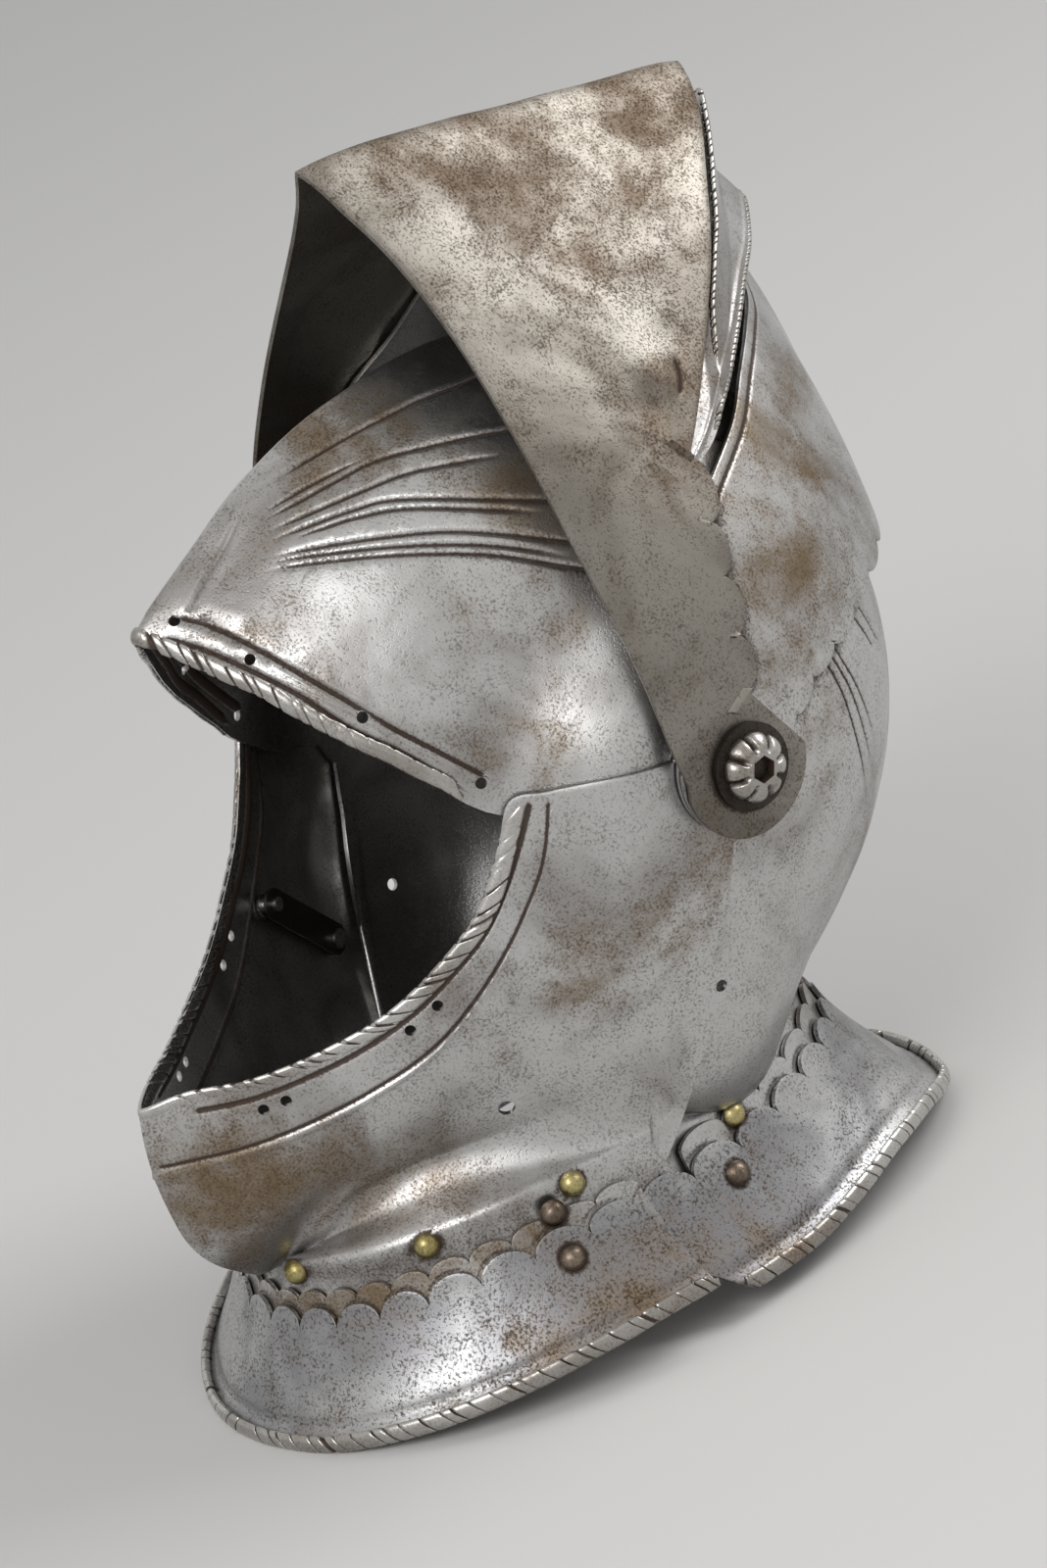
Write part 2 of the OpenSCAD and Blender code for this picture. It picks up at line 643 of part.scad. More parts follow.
// a leaf guided on the stud, bent out to the plate at its fixed end
leaf_l = 36;
module latch_spring() {
    color(dark_steel)
        placed()
            at_skin(LATCH, BEVOR, 1, -1)
                rotate([0, 0, latch_turn])
                    difference() {
                        union() {
                            translate([0, -5, -leaf_in - leaf_t])
                                cube([leaf_l, 10, leaf_t]);
                            translate([0, 0, -leaf_in - leaf_t])
                                cylinder(h = leaf_t, d = 10, $fn = 32);
                            translate([leaf_l, 0, -leaf_in - leaf_t])
                                cylinder(h = leaf_block, d = 10, $fn = 32);
                        }
                        translate([0, 0, -leaf_in - 3])
                            cylinder(h = 6, d = latch_d + 0.12, $fn = 32);
                        translate([leaf_l, 0, -leaf_in - 3])
                            cylinder(h = 12, d = rivet_d + 0.1, $fn = 24);
                    }
}
latch_turn = 315;
leaf_block = 2.8;

module latch_rivet() {
    color(steel)
        placed()
            at_skin(LATCH, BEVOR, 1, -1)
                rotate([0, 0, latch_turn])
                    translate([leaf_l, 0, 0]) {
                        translate([0, 0, -leaf_in - leaf_t - 0.9])
                            cylinder(h = leaf_in + leaf_t + 1.5, d = rivet_d, $fn = 24);
                        translate([0, 0, -leaf_in - leaf_t - 1.1])
                            cylinder(h = 1, d = rivet_d + 3, $fn = 28);
                    }
}

// ---- plume holder on the nape ----
PLUME_F = 228;
module at_nape() {
    p = skin(1, PLUME_F, SKULL, 0, 0);
    e = skin(1, PLUME_F - 8, SKULL, 0, 0) - skin(1, PLUME_F + 8, SKULL, 0, 0);
    translate(p)
        rotate([90 - atan2(e[1], e[2]) - 90, 0, 0])
            children();
}

module plume_holder() {
    color(brass)
        placed()
            at_nape()
                difference() {
                    union() {
                        translate([-5, 0.15, -17])
                            cube([10, 1.5, 34]);
                        translate([-2.5, 1, -14])
                            cube([5, 9, 10]);
                        translate([0, 10, -18])
                            rotate([-16, 0, 0])
                                cylinder(h = plume_l, d1 = plume_d + 1.6, d2 = plume_d + 5);
                    }
                    translate([0, 10, -18])
                        rotate([-16, 0, 0])
                            translate([0, 0, 3])
                                cylinder(h = plume_l, d = plume_d);
                    for (z = [-1, 13])
                        translate([0, 0, z])
                            rotate([90, 0, 0])
                                cylinder(h = 20, d = 2.5, center = true, $fn = 24);
                }
}

module plume_holder_rivets() {
    color(brass)
        placed()
            at_nape()
                for (z = [-1, 13])
                    translate([0, 0, z])
                        rotate([-90, 0, 0]) {
                            translate([0, 0, -sheet - 2.2])
                                cylinder(h = sheet + 4.2, d = 2.4, $fn = 24);
                            translate([0, 0, 1.75])
                                cylinder(h = 1, d1 = 4.6, d2 = 3.4, $fn = 28);
                            translate([0, 0, -sheet - 2.6])
                                cylinder(h = 1, d = 4.4, $fn = 28);
                        }
}

skull();
brow_plate();
visor();
ventail();
bevor();
front_neck_lame();
front_gorget_plate();
rear_neck_lame();
rear_gorget_plate();
plume_holder();
plume_holder_rivets();
left_rosette();
right_rosette();
left_washer();
right_washer();
left_pivot_bolt();
right_pivot_bolt();
left_pivot_nut();
right_pivot_nut();
bevor_studs();
front_lame_rivets();
front_plate_rivets();
rear_lame_rivets();
rear_plate_rivets();
latch_spring();
latch_stud();
latch_rivet();
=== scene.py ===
# %% [markdown]
# # A close helmet with its face plates raised
#
# The metal plates of this helmet turn about one line through two pivots above
# the ears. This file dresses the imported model: it forges finer plates over the
# plain ones, gives each metal its own wear, and lights the result on a pale
# floor. Lengths in the tables are millimetres, and Blender works in metres.

import math

import bmesh
import bpy
import numpy as np
from mathutils import Matrix, Vector, kdtree


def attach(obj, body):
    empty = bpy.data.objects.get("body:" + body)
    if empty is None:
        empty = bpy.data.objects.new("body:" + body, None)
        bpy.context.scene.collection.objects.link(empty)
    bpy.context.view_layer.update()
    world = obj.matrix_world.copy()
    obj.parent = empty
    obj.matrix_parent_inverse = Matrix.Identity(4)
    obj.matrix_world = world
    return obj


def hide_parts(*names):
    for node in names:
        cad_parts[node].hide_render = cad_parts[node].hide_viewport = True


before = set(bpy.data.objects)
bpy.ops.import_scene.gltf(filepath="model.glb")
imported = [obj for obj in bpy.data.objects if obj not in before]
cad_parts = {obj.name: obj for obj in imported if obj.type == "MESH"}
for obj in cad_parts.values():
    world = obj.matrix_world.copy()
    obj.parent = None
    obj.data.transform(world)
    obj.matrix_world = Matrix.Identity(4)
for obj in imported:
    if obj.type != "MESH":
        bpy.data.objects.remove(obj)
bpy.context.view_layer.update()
print("nodes in the packed model:", len(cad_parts))

# %% [markdown]
# ## The camera
# The photograph was taken with a long lens from the wearer's left front, a
# little above, with the camera tilted to the side. A camera is only a place,
# three directions and a lens, so all four are written out here. The third
# direction points backwards, from the helmet to the camera.

# %% Camera
VIEW_RIGHT = Vector((0.574, 0.774, -0.267))
VIEW_UP = Vector((-0.156, 0.423, 0.891))
VIEW_BACK = Vector((0.804, -0.470, 0.364))
VIEW_PLACE = Vector((1.4478, -0.8357, 0.8003))
LENS = 137.7
camera_data = bpy.data.cameras.new("photo_camera")
camera_data.lens = LENS
camera_data.sensor_width = 36
camera_data.clip_end = 60
camera = bpy.data.objects.new("photo_camera", camera_data)
bpy.context.scene.collection.objects.link(camera)
turn = Matrix((VIEW_RIGHT, VIEW_UP, VIEW_BACK)).transposed().to_quaternion()
camera.matrix_world = Matrix.Translation(VIEW_PLACE) @ turn.to_matrix().to_4x4()
bpy.context.scene.camera = camera

# %% [markdown]
# ## The chart of the plates
# Every plate is a shell round the pivot line. A place on a shell is a chart
# point (ahead, up): its length t is 0 at the pivot and 1 on the middle line of
# the helmet, and its direction f is the direction in the side view. One
# function turns such places into points of any plate, so plates that lie over
# each other stay a named step apart, as an armourer fits them on one another.

# %% Sizes and the shell function
MM = 0.001
SKULL_W, SIDE_R, PIVOT_Z, MID_Y = 96.0, 104.0, 163.0, 23.0
FULL, COMB, PITCH, EAR_R, FLAT_T = 0.88, 2.2, 2.3, 20.0, 0.2
SHEET = 1.5
SMOOTH_ANGLE = 40
SKULL_TRIANGLES = 185000
HUB_T = 0.042
LINING_HOLE_R, SKULL_HOLE_R, CHEEK_HOLE_R = 1.7, 1.9, 2.5
EAR_T = math.degrees(math.asin(((EAR_R + 0.1) / SIDE_R) ** (1 / FULL))) / 90
SKULL = [(-110, 122), (-90, 150), (-75, 152), (-60, 150), (-30, 145), (0, 142), (33, 144),
         (45, 133), (60, 126), (76, 120), (100, 117), (125, 116), (150, 114), (180, 110),
         (200, 106), (215, 104), (235, 110), (250, 122)]
BEVOR = [(-120, 130), (-100, 150), (-80, 155), (-60, 160), (-50, 172), (-42, 183),
         (-32, 192), (-22, 181), (-14, 168), (0, 158), (20, 150)]
BROW = [(20, 158), (120, 158), (132, 156), (140, 148), (150, 139), (163, 130), (178, 124),
        (190, 122)]
VISOR = [(60, 173), (100, 173), (112, 175), (122, 176), (125, 179), (127, 193), (130.5, 172),
         (136, 168), (150, 168)]
CREST = [(0.5, 9), (0.56, 9), (0.65, 7.5), (0.69, 6.6), (0.73, 5.3), (0.81, 2.9), (0.93, 0.8),
         (1, 0)]
VENT = [(60, 186), (82, 184), (95, 179), (105, 179), (115, 185), (125, 198), (140, 198)]
PINCH = [(-75, 0), (-50, 0.03), (-20, 0.14), (10, 0.17), (60, 0.17), (100, 0.05), (140, 0)]


def lookup(x, table):
    pairs = np.array(table, float)
    return np.interp(x, pairs[:, 0], pairs[:, 1])


def rounded(x, table, spread=3.0):
    """The table's value, with its corners rounded over a few degrees."""
    steps = np.linspace(-spread, spread, 7)
    return sum(lookup(x + s, table) for s in steps) / len(steps)


def smooth(x):
    u = np.clip(x, 0, 1)
    return u * u * (3 - 2 * u)


def bell(away, wide):
    """Falls from 1 on a line to nearly nothing at twice the width from it."""
    return np.exp(-((away / wide) ** 2))


def mix(a, b, u):
    return a + (b - a) * u


def skin(t, f, table, level, depth=0.0, ridge=0.0):
    """Points of a shell, in millimetres from the middle of the pivot line."""
    t, f = np.asarray(t, float), np.asarray(f, float)
    g = np.where(f > 250, f - 360, f)
    down = np.where(g > 180, g - 360, g) + 80
    k = smooth(np.abs(down) / np.where(down > 0, 42, 36))
    s = np.sin(np.radians(90 * np.clip(t, 0, 1))) ** FULL
    c = np.maximum(0, np.cos(np.radians(90 * t))) ** FULL
    near = s * smooth((t - 0.12) / 0.25)
    h = mix(near, (np.maximum(0, t - FLAT_T) / (1 - FLAT_T)) ** 2, k)
    pinch = 0.0
    if level < 2:
        start = 0.13 if level == 0 else 0.15
        pinch = (1.06 if level == 0 else 1) * rounded(g, PINCH, 8) * smooth((t - start) / 0.25)
    base = SIDE_R + 0.8 * PITCH * level + (0.3 if level == 1 else 0) - depth
    crest = ridge * smooth((t - 0.93) / 0.07) * smooth((205 - f) / 15)
    if level == 3:
        top = rounded(g + lookup(t, CREST), table, 0.3) - depth + crest
    else:
        top = rounded(g, table) - depth + crest
    r = base * s + (top - base) * h
    x = (SKULL_W + PITCH * level - depth) * c * (1 - pinch)
    a = np.radians(f)
    return np.stack([x, -r * np.cos(a), r * np.sin(a)], -1)


def between(a, b, c, d, x):
    """The smooth curve from b to c, at x from 0 to 1, that comes from a and goes on to d."""
    return 0.5 * (2 * b + (c - a) * x + (2 * a - 5 * b + 4 * c - d) * x ** 2
                  + (3 * b - a - 3 * c + d) * x ** 3)


def through_rows(stack, w):
    """A smooth line through each column of a stack of points, at its own place w."""
    last = len(stack) - 1
    i = np.clip(np.floor(w).astype(int), 1, last - 1)
    pick = np.arange(len(w))
    four = [stack[np.minimum(i + k, last), pick] for k in (-1, 0, 1, 2)]
    return between(*four, (w - i)[:, None])


def through(points, u):
    """A smooth line through control points; u runs from 0 to the last index."""
    p, u = np.asarray(points, float), np.asarray(u, float)
    i = np.clip(np.floor(u).astype(int), 0, len(p) - 2)
    w = (u - i)[..., None] if p.ndim > 1 else u - i
    return between(p[np.maximum(i - 1, 0)], p[i], p[i + 1], p[np.minimum(i + 2, len(p) - 1)], w)


def sampled(points, n):
    return through(points, np.linspace(0, len(points) - 1, n + 1))


def to_row(points):
    """Millimetres from the pivot line become metres in the row frame."""
    return (np.asarray(points) + np.array([0, MID_Y, PIVOT_Z])) * MM


print("arm end reaches t =", round(EAR_T, 4))

# %% [markdown]
# ## From a flat blank to a plate
# An armourer cuts a flat blank, chases lines in it, and raises it over stakes
# into its bent form. The same order works here: a grid primitive is the blank,
# its squares are divided again where a line is chased, each vertex is moved to
# its place on the shell, and the sheet gets its thickness and soft edges from
# modifiers. Only the left half is made, and a mirror modifier gives the other.

# %% Blank, bend and wall
def only(obj):
    bpy.ops.object.select_all(action="DESELECT")
    obj.select_set(True)
    bpy.context.view_layer.objects.active = obj


def blank(name, cols, rows):
    """A flat grid, 1 by 1, that lies round the origin."""
    bpy.ops.object.select_all(action="DESELECT")
    bpy.ops.mesh.primitive_grid_add(x_subdivisions=cols, y_subdivisions=rows, size=1)
    obj = bpy.context.active_object
    obj.name = obj.data.name = name
    return obj


def vertices(obj):
    co = np.empty(len(obj.data.vertices) * 3)
    obj.data.vertices.foreach_get("co", co)
    return co.reshape(-1, 3)


def flat_places(obj):
    """The vertices' places on the blank, from 0 to 1 both ways."""
    return np.clip(vertices(obj)[:, :2] + 0.5, 0, 1)


def set_places(obj, points):
    obj.data.vertices.foreach_set("co", np.asarray(points, float).ravel())
    obj.data.update()


def nearest(points, lines):
    """Distance of each point to the nearest of the lines."""
    best = np.full(len(points), 1e9)
    for line in lines:
        a, b = line[:-1], line[1:]
        e = b - a
        size = np.maximum((e ** 2).sum(1), 1e-12)
        for start in range(0, len(points), 4000):
            p = points[start:start + 4000]
            u = np.clip(((p[:, None] - a) * e).sum(-1) / size, 0, 1)
            d = np.linalg.norm(p[:, None] - (a + u[..., None] * e), axis=-1).min(1)
            best[start:start + 4000] = np.minimum(best[start:start + 4000], d)
    return best


def off_sheet(place, flat, points, step, middle_z):
    """The direction square to the sheet at each vertex, away from the middle."""
    slopes = []
    for way in ([step, 0], [0, step]):
        ahead, behind = np.clip(flat + way, 0, 1), np.clip(flat - np.array(way), 0, 1)
        slopes.append(place(*ahead.T) - place(*behind.T))
    out = np.cross(*slopes)
    out /= np.maximum(np.linalg.norm(out, axis=1, keepdims=True), 1e-9)
    return out * np.sign((out * (points - [0, 0, middle_z])).sum(1))[:, None]


def divide_near(obj, place, lines, reach, cuts):
    """Divides the blank's squares whose middle comes within reach of a line."""
    only(obj)
    bpy.ops.object.mode_set(mode="EDIT")
    bpy.ops.mesh.select_mode(type="FACE")
    bm = bmesh.from_edit_mesh(obj.data)
    middles = np.array([f.calc_center_median()[:2] for f in bm.faces]) + 0.5
    near = nearest(place(middles[:, 0], middles[:, 1]), lines) < reach
    for f, pick in zip(bm.faces, near):
        f.select_set(bool(pick))
    bmesh.update_edit_mesh(obj.data)
    bpy.ops.mesh.subdivide(number_cuts=cuts, ngon=False)
    bpy.ops.object.mode_set(mode="OBJECT")


def use(obj, kind, **settings):
    """Adds one modifier, sets it and applies it."""
    only(obj)
    modifier = obj.modifiers.new(kind.lower(), kind)
    for key, value in settings.items():
        setattr(modifier, key, value)
    bpy.ops.object.modifier_apply(modifier=modifier.name)


def joined(obj, gap, outwards=True):
    """Joins vertices that lie within the gap, in metres, and turns the faces outwards."""
    only(obj)
    bpy.ops.object.mode_set(mode="EDIT")
    bpy.ops.mesh.select_all(action="SELECT")
    bpy.ops.mesh.remove_doubles(threshold=gap)
    if outwards:
        bpy.ops.mesh.normals_make_consistent(inside=False)
    bpy.ops.object.mode_set(mode="OBJECT")


def shaded(obj, degrees=SMOOTH_ANGLE):
    """Shades the object smooth, but for edges sharper than the angle."""
    only(obj)
    bpy.ops.object.shade_smooth_by_angle(angle=math.radians(degrees))


def mirrored(obj):
    """Adds the right half and joins it along the middle."""
    use(obj, "MIRROR", use_mirror_merge=True, merge_threshold=2e-5, use_clip=False)
    joined(obj, 1e-5)


def painted(obj, key, values):
    """Keeps one number per vertex, which the finishes read under that name."""
    layer = obj.data.attributes.get(key) or obj.data.attributes.new(key, "FLOAT", "POINT")
    layer.data.foreach_set("value", np.clip(values, 0, 1).astype(np.float32))


def facing_out(obj):
    """Flips an open sheet whose normals look at the pivot line."""
    middle = Vector((0, MID_Y * MM, (PIVOT_Z - 30) * MM))
    look = sum(p.area * p.normal.dot(p.center - middle) for p in obj.data.polygons)
    if look < 0:
        only(obj)
        bpy.ops.object.mode_set(mode="EDIT")
        bpy.ops.mesh.select_all(action="SELECT")
        bpy.ops.mesh.flip_normals()
        bpy.ops.object.mode_set(mode="OBJECT")


def tally(obj):
    """Prints the triangles, and the edges that don't join exactly two faces."""
    edges = np.empty(len(obj.data.loops), int)
    obj.data.loops.foreach_get("edge_index", edges)
    joins = np.bincount(edges, minlength=len(obj.data.edges))
    triangles = len(edges) - 2 * len(obj.data.polygons)
    print(obj.name, triangles, "triangles,", int((joins != 2).sum()), "loose edges")


def walled(obj, thickness=SHEET, soft=0.35):
    """Gives the sheet its thickness inwards and rounds its cut edges."""
    facing_out(obj)
    use(obj, "SOLIDIFY", thickness=thickness * MM, offset=-1, use_even_offset=False,
        use_quality_normals=True, material_offset=1, material_offset_rim=0)
    if soft:
        use(obj, "BEVEL", width=soft * MM, segments=2, limit_method="ANGLE",
            angle_limit=math.radians(75), use_clamp_overlap=True)
    shaded(obj)
    tally(obj)
    return obj


def bored(obj, places, radius, length=14.0):
    """Cuts round holes; each place is a point and an outward direction."""
    punches = []
    for point, axis in places:
        turn = Vector(axis).to_track_quat("Z", "Y").to_euler()
        bpy.ops.object.select_all(action="DESELECT")
        bpy.ops.mesh.primitive_cylinder_add(vertices=24, radius=radius * MM, rotation=turn,
                                            depth=length * MM, location=to_row(point))
        punches.append(bpy.context.active_object)
    for punch in punches:
        punch.select_set(True)
    bpy.ops.object.join()
    punch = bpy.context.active_object
    only(obj)
    cut = obj.modifiers.new("punch", "BOOLEAN")
    cut.operation, cut.solver, cut.object = "DIFFERENCE", "MANIFOLD", punch
    bpy.ops.object.modifier_apply(modifier=cut.name)
    bpy.data.objects.remove(punch)
    tally(obj)


# %% [markdown]
# ## Places on a plate
# Rivets, holes and roped edges sit on a plate by the chart. These helpers turn
# chart points into lines on the metal, with the outward direction at each.

# %% Lines on a shell
def chart_line(points, n, table, level, depth=0.0, ridge=0.0, side=1):
    """A smooth line over the shell through chart points, with n steps."""
    line = sampled(points, n)
    t, f = np.hypot(line[:, 0], line[:, 1]), np.degrees(np.arctan2(line[:, 1], line[:, 0]))
    out = skin(t, f, table, level, depth, ridge)
    out[:, 0] *= side
    return out


def shell_frame(point, table, level, side=1):
    """A point of the shell and its outward direction."""
    t, f = math.hypot(*point), math.degrees(math.atan2(point[1], point[0]))
    p, a, b = (skin(*c, table, level) for c in ((t, f), (t - 0.01, f), (t, f + 1)))
    out = np.cross(a - p, b - p)
    out = out / np.linalg.norm(out)
    if out[0] < 0:
        out = -out
    return p * [side, 1, 1], out * [side, 1, 1]


# %% [markdown]
# ## The skull
# The skull is one plate, drawn in at the cheeks, with a low comb along the
# middle. Fine flutes fan out over the brow and gather again at the nape. The
# grid runs round the pivot in rings, and the squares under the flutes are
# divided three times, so that each groove is cut in the metal itself.

# %% Skull tables
SKULL_EDGE = [(-66, 0.56), (-65.4, 0.52), (-64.3, 0.45), (-62, 0.36), (-56, 0.24),
              (-48, 0.165), (-32.7, 0.148), (-18, 0.19), (-5, 0.27), (5, 0.345), (9, 0.4),
              (15, 0.46), (20.5, 0.545), (25.5, 0.668), (29.5, 0.785), (31.6, 0.9), (33, 1)]
SKULL_END = [(243, 1), (256, 0.8), (270, 0.66), (285, 0.6), (294, 0.56)]
SKULL_T = [0, 0.2, 0.36, 0.52, 0.66, 0.78, 0.88, 0.955, 1]
NECK_OF = [(243, 180), (249, 160), (256, 143), (263, 129), (270, 117), (278, 105), (286, 95),
           (294, 87)]
NECK_A, NECK_B, NECK_Y, FLARE = 68.0, 95.0, -43.0, 21.0
NECK_Z = [(0, -121), (25, -118), (45, -114), (65, -111), (110, -110), (150, -107), (180, -107)]
FRONT_Z = [(0, -163), (20, -163), (40, -158.5), (50, -155.5), (65, -150.5), (78, -147),
           (110, -145)]
REAR_Z = [(70, -155), (105, -155), (115, -152), (125, -149), (137, -150), (150, -156),
          (162, -163), (180, -163)]


def neck(q, v, off, rim):
    """Points of the neck: q degrees from the front, v from the neck to the rim."""
    q, v = np.asarray(q, float), np.asarray(v, float)
    p = np.where(v < 0, -0.25, 1) * np.abs(v) ** 1.5
    a = NECK_A + FLARE * p + off
    b = NECK_B + np.where(q < 90, FLARE, FLARE + 16 * smooth((q - 90) / 60)) * p + off
    z = mix(rounded(q, NECK_Z), rounded(q, rim), v)
    s, c = np.sin(np.radians(q)), np.cos(np.radians(q))
    return np.stack([a * s, NECK_Y - b * c, z], -1)


def skull_place(u, v):
    """Blank place to skull point: u goes round the pivot, v outwards from it."""
    f = mix(-66, 294, np.asarray(u, float))
    row = 8 * np.asarray(v, float)
    part = np.where(f < 33, lookup(f, SKULL_EDGE), lookup(f, SKULL_END))
    share = lookup(row, list(enumerate(SKULL_T)))
    plain = skin(mix(HUB_T, part, share), f, SKULL, 0, 0, COMB)
    q, blend = lookup(f, NECK_OF), smooth((f - 233) / 6)
    s = np.clip((f - 239) / 4, 0, 1)
    off = -1.2 * smooth((105 - q) / 12)

    def nape(a, b, c):
        return np.where(s < 0.5, mix(a, b, 2 * s), mix(b, c, 2 * s - 1))

    low = [nape(-0.24, -0.16, -0.12), nape(-0.2, -0.08, 0.03), nape(-0.15, 0.03, 0.3)]
    angle = [q - np.where(q > 179.9, d, 0) for d in (7, 3, 0)]
    ring = [neck(angle[i], low[i], off, REAR_Z) for i in range(3)]
    e = skin(part * 0.93, f, SKULL, 0)
    points = [skin(mix(HUB_T, part, w), f, SKULL, 0) for w in (0.66, 0.8)]
    points += [0.35 * e + 0.65 * ring[0], ring[1], ring[2]]
    curve = through_rows(np.stack(points), np.clip(row - 5, 0, 3) + 1)
    inner = skin(mix(HUB_T, part, lookup(row, [(0, 0), (4, 0.66), (5, 0.8), (8, 1)])), f, SKULL, 0)
    low_part = np.where((row > 5)[:, None], curve, inner)
    out = plain + (low_part - plain) * blend[:, None]
    out[:, 0] = np.where((f > 33) & (f < 243) & (v > 0.9999), 0, out[:, 0])
    near = f < -56
    if near.any():
        t = mix(HUB_T, part, share)[near]
        v_far = lookup((t - HUB_T) / (0.56 - HUB_T), list(zip(SKULL_T, np.arange(9) / 8)))
        gap = skull_place(np.ones(near.sum()), v_far) - skin(t, np.full(len(t), -66.0), SKULL, 0)
        out[near] += gap * (1 - smooth((f[near] + 66) / 10))[:, None]
    return out


# %% [markdown]
# The flutes are drawn as smooth lines through a few chart points each: three
# bundles over the side, from the brow to the nape, and one line by the comb.

# %% Flutes
FLUTES = [
    [(0.61, 0.625), (0.51, 0.6), (0.365, 0.55), (0.22, 0.48), (0.085, 0.385), (-0.06, 0.29),
     (-0.19, 0.17), (-0.27, 0.03), (-0.3, -0.1), (-0.325, -0.22), (-0.335, -0.36)],
    [(0.6, 0.638), (0.505, 0.616), (0.358, 0.567), (0.215, 0.499), (0.085, 0.41)],
    [(0.59, 0.648), (0.5, 0.632), (0.368, 0.595), (0.244, 0.545), (0.085, 0.445),
     (-0.09, 0.33), (-0.235, 0.19), (-0.32, 0.02), (-0.37, -0.12), (-0.4, -0.24),
     (-0.405, -0.38)],
    [(-0.2, 0.22), (-0.295, 0.03), (-0.335, -0.11), (-0.362, -0.23), (-0.37, -0.37)],
    [(0.555, 0.668), (0.48, 0.667), (0.4, 0.66), (0.298, 0.63), (0.085, 0.512)],
    [(0.585, 0.682), (0.49, 0.684), (0.4, 0.68), (0.31, 0.66), (0.085, 0.541), (-0.13, 0.42),
     (-0.35, 0.23), (-0.48, 0.04), (-0.54, -0.11), (-0.555, -0.26)],
    [(-0.3, 0.24), (-0.445, 0.03), (-0.51, -0.11), (-0.53, -0.26)],
    [(0.58, 0.704), (0.47, 0.711), (0.36, 0.714), (0.253, 0.709), (0.08, 0.662)],
    [(0.582, 0.73), (0.49, 0.747), (0.396, 0.762), (0.287, 0.769), (0.075, 0.721),
     (-0.18, 0.62), (-0.46, 0.4), (-0.63, 0.14), (-0.7, -0.06), (-0.72, -0.22)],
    [(0.578, 0.745), (0.484, 0.77), (0.393, 0.783), (0.31, 0.785)],
    [(0.761, 0.565), (0.71, 0.64), (0.65, 0.71), (0.561, 0.8), (0.456, 0.832), (0.335, 0.858),
     (0.211, 0.875), (0.1, 0.877), (-0.2, 0.84), (-0.55, 0.64)],
]
BROW_GROOVE = [(0.8, 0.59), (0.738, 0.556), (0.677, 0.492), (0.613, 0.411), (0.547, 0.326),
               (0.493, 0.255), (0.43, 0.184), (0.37, 0.118)]
BROW_LIP = [(0.826, 0.562), (0.749, 0.503), (0.674, 0.426), (0.615, 0.357), (0.558, 0.274),
            (0.493, 0.207), (0.425, 0.125)]
BROW_HOLES = [(0.775, 0.57), (0.674, 0.453), (0.53, 0.286), (0.376, 0.105)]
skull_lines = [chart_line(p, 60, SKULL, 0) for p in FLUTES + [BROW_GROOVE, BROW_LIP]]

# %% Raise the skull
skull_cols, skull_rows = 136, 38
skull = blank("skull_fine", skull_cols, skull_rows)
for reach in (3.3, 1.7, 0.8):
    divide_near(skull, skull_place, skull_lines, reach, 1)
flat = flat_places(skull)
points = skull_place(flat[:, 0], flat[:, 1])
bands = nearest(points, skull_lines[-2:])
lift, chased = np.zeros(len(points)), np.zeros(len(points))
for line in skull_lines[:-2]:
    away = nearest(points, [line])
    tip = np.min([np.linalg.norm(points - end, axis=1) for end in line[[0, -1]]], axis=0)
    fade = smooth(tip / 15)
    lift = np.minimum(lift, -0.85 * fade * bell(away, 0.4 + 0.35 * fade))
    lift += 0.2 * fade * bell(away - 1.9, 0.8)
    chased = np.maximum(chased, 0.9 * np.sqrt(fade) * bell(away, 0.6))
lift += -0.75 * bell(bands, 0.8) + 0.25 * bell(bands - 1.9, 0.8)
# The skull is darker in a band along the neck crease.
crease = smooth(1 - np.abs(points[:, 2] + 104) / 14) * smooth((points[:, 1] - 5) / 30)
painted(skull, "grime_and_shade", np.maximum(chased, 0.95 * bell(bands, 0.9)) + 0.5 * crease)
on_middle = points[:, 0] < 1e-6
points = points + off_sheet(skull_place, flat, points, 0.002, -10) * lift[:, None]
points[on_middle, 0] = 0
set_places(skull, to_row(points))
joined(skull, 3e-5, outwards=False)
mirrored(skull)
walled(skull)
triangles = len(skull.data.loops) - 2 * len(skull.data.polygons)
use(skull, "DECIMATE", ratio=min(1, SKULL_TRIANGLES / triangles))
shaded(skull)
brow_holes = [shell_frame(c, SKULL, 0, side) for c in BROW_HOLES for side in (1, -1)]
bored(skull, brow_holes, LINING_HOLE_R)
bored(skull, [shell_frame((0.078, -0.284), SKULL, 0, side) for side in (1, -1)], SKULL_HOLE_R)

# %% [markdown]
# ## The plates that turn
# The other plates are strips between a front line and a rear line on the
# chart. Where the rear line is cut in scallops, each scallop is half an
# ellipse between two cusps. The arm of each plate ends in a round ear.

# %% Strip between two lines
def ear_side(f, side, steps):
    angle = np.radians(f + side * (178 - 88 * np.arange(steps) / steps))
    return EAR_T * np.stack([np.cos(angle), np.sin(angle)], -1)


def scalloped(cusps, n, high):
    """Half ellipses of n steps between cusps."""
    cusps = np.asarray(cusps, float)
    u = np.arange(n) / n
    u = 0.5 - 0.5 * np.cos(math.pi * u)
    out = []
    for a, b in zip(cusps[:-1], cusps[1:]):
        e = b - a
        rise = high * np.sqrt(np.maximum(0, 1 - (2 * u - 1) ** 2))
        out.append(a + e * u[:, None] + rise[:, None] * [e[1], -e[0]])
    return np.concatenate(out)


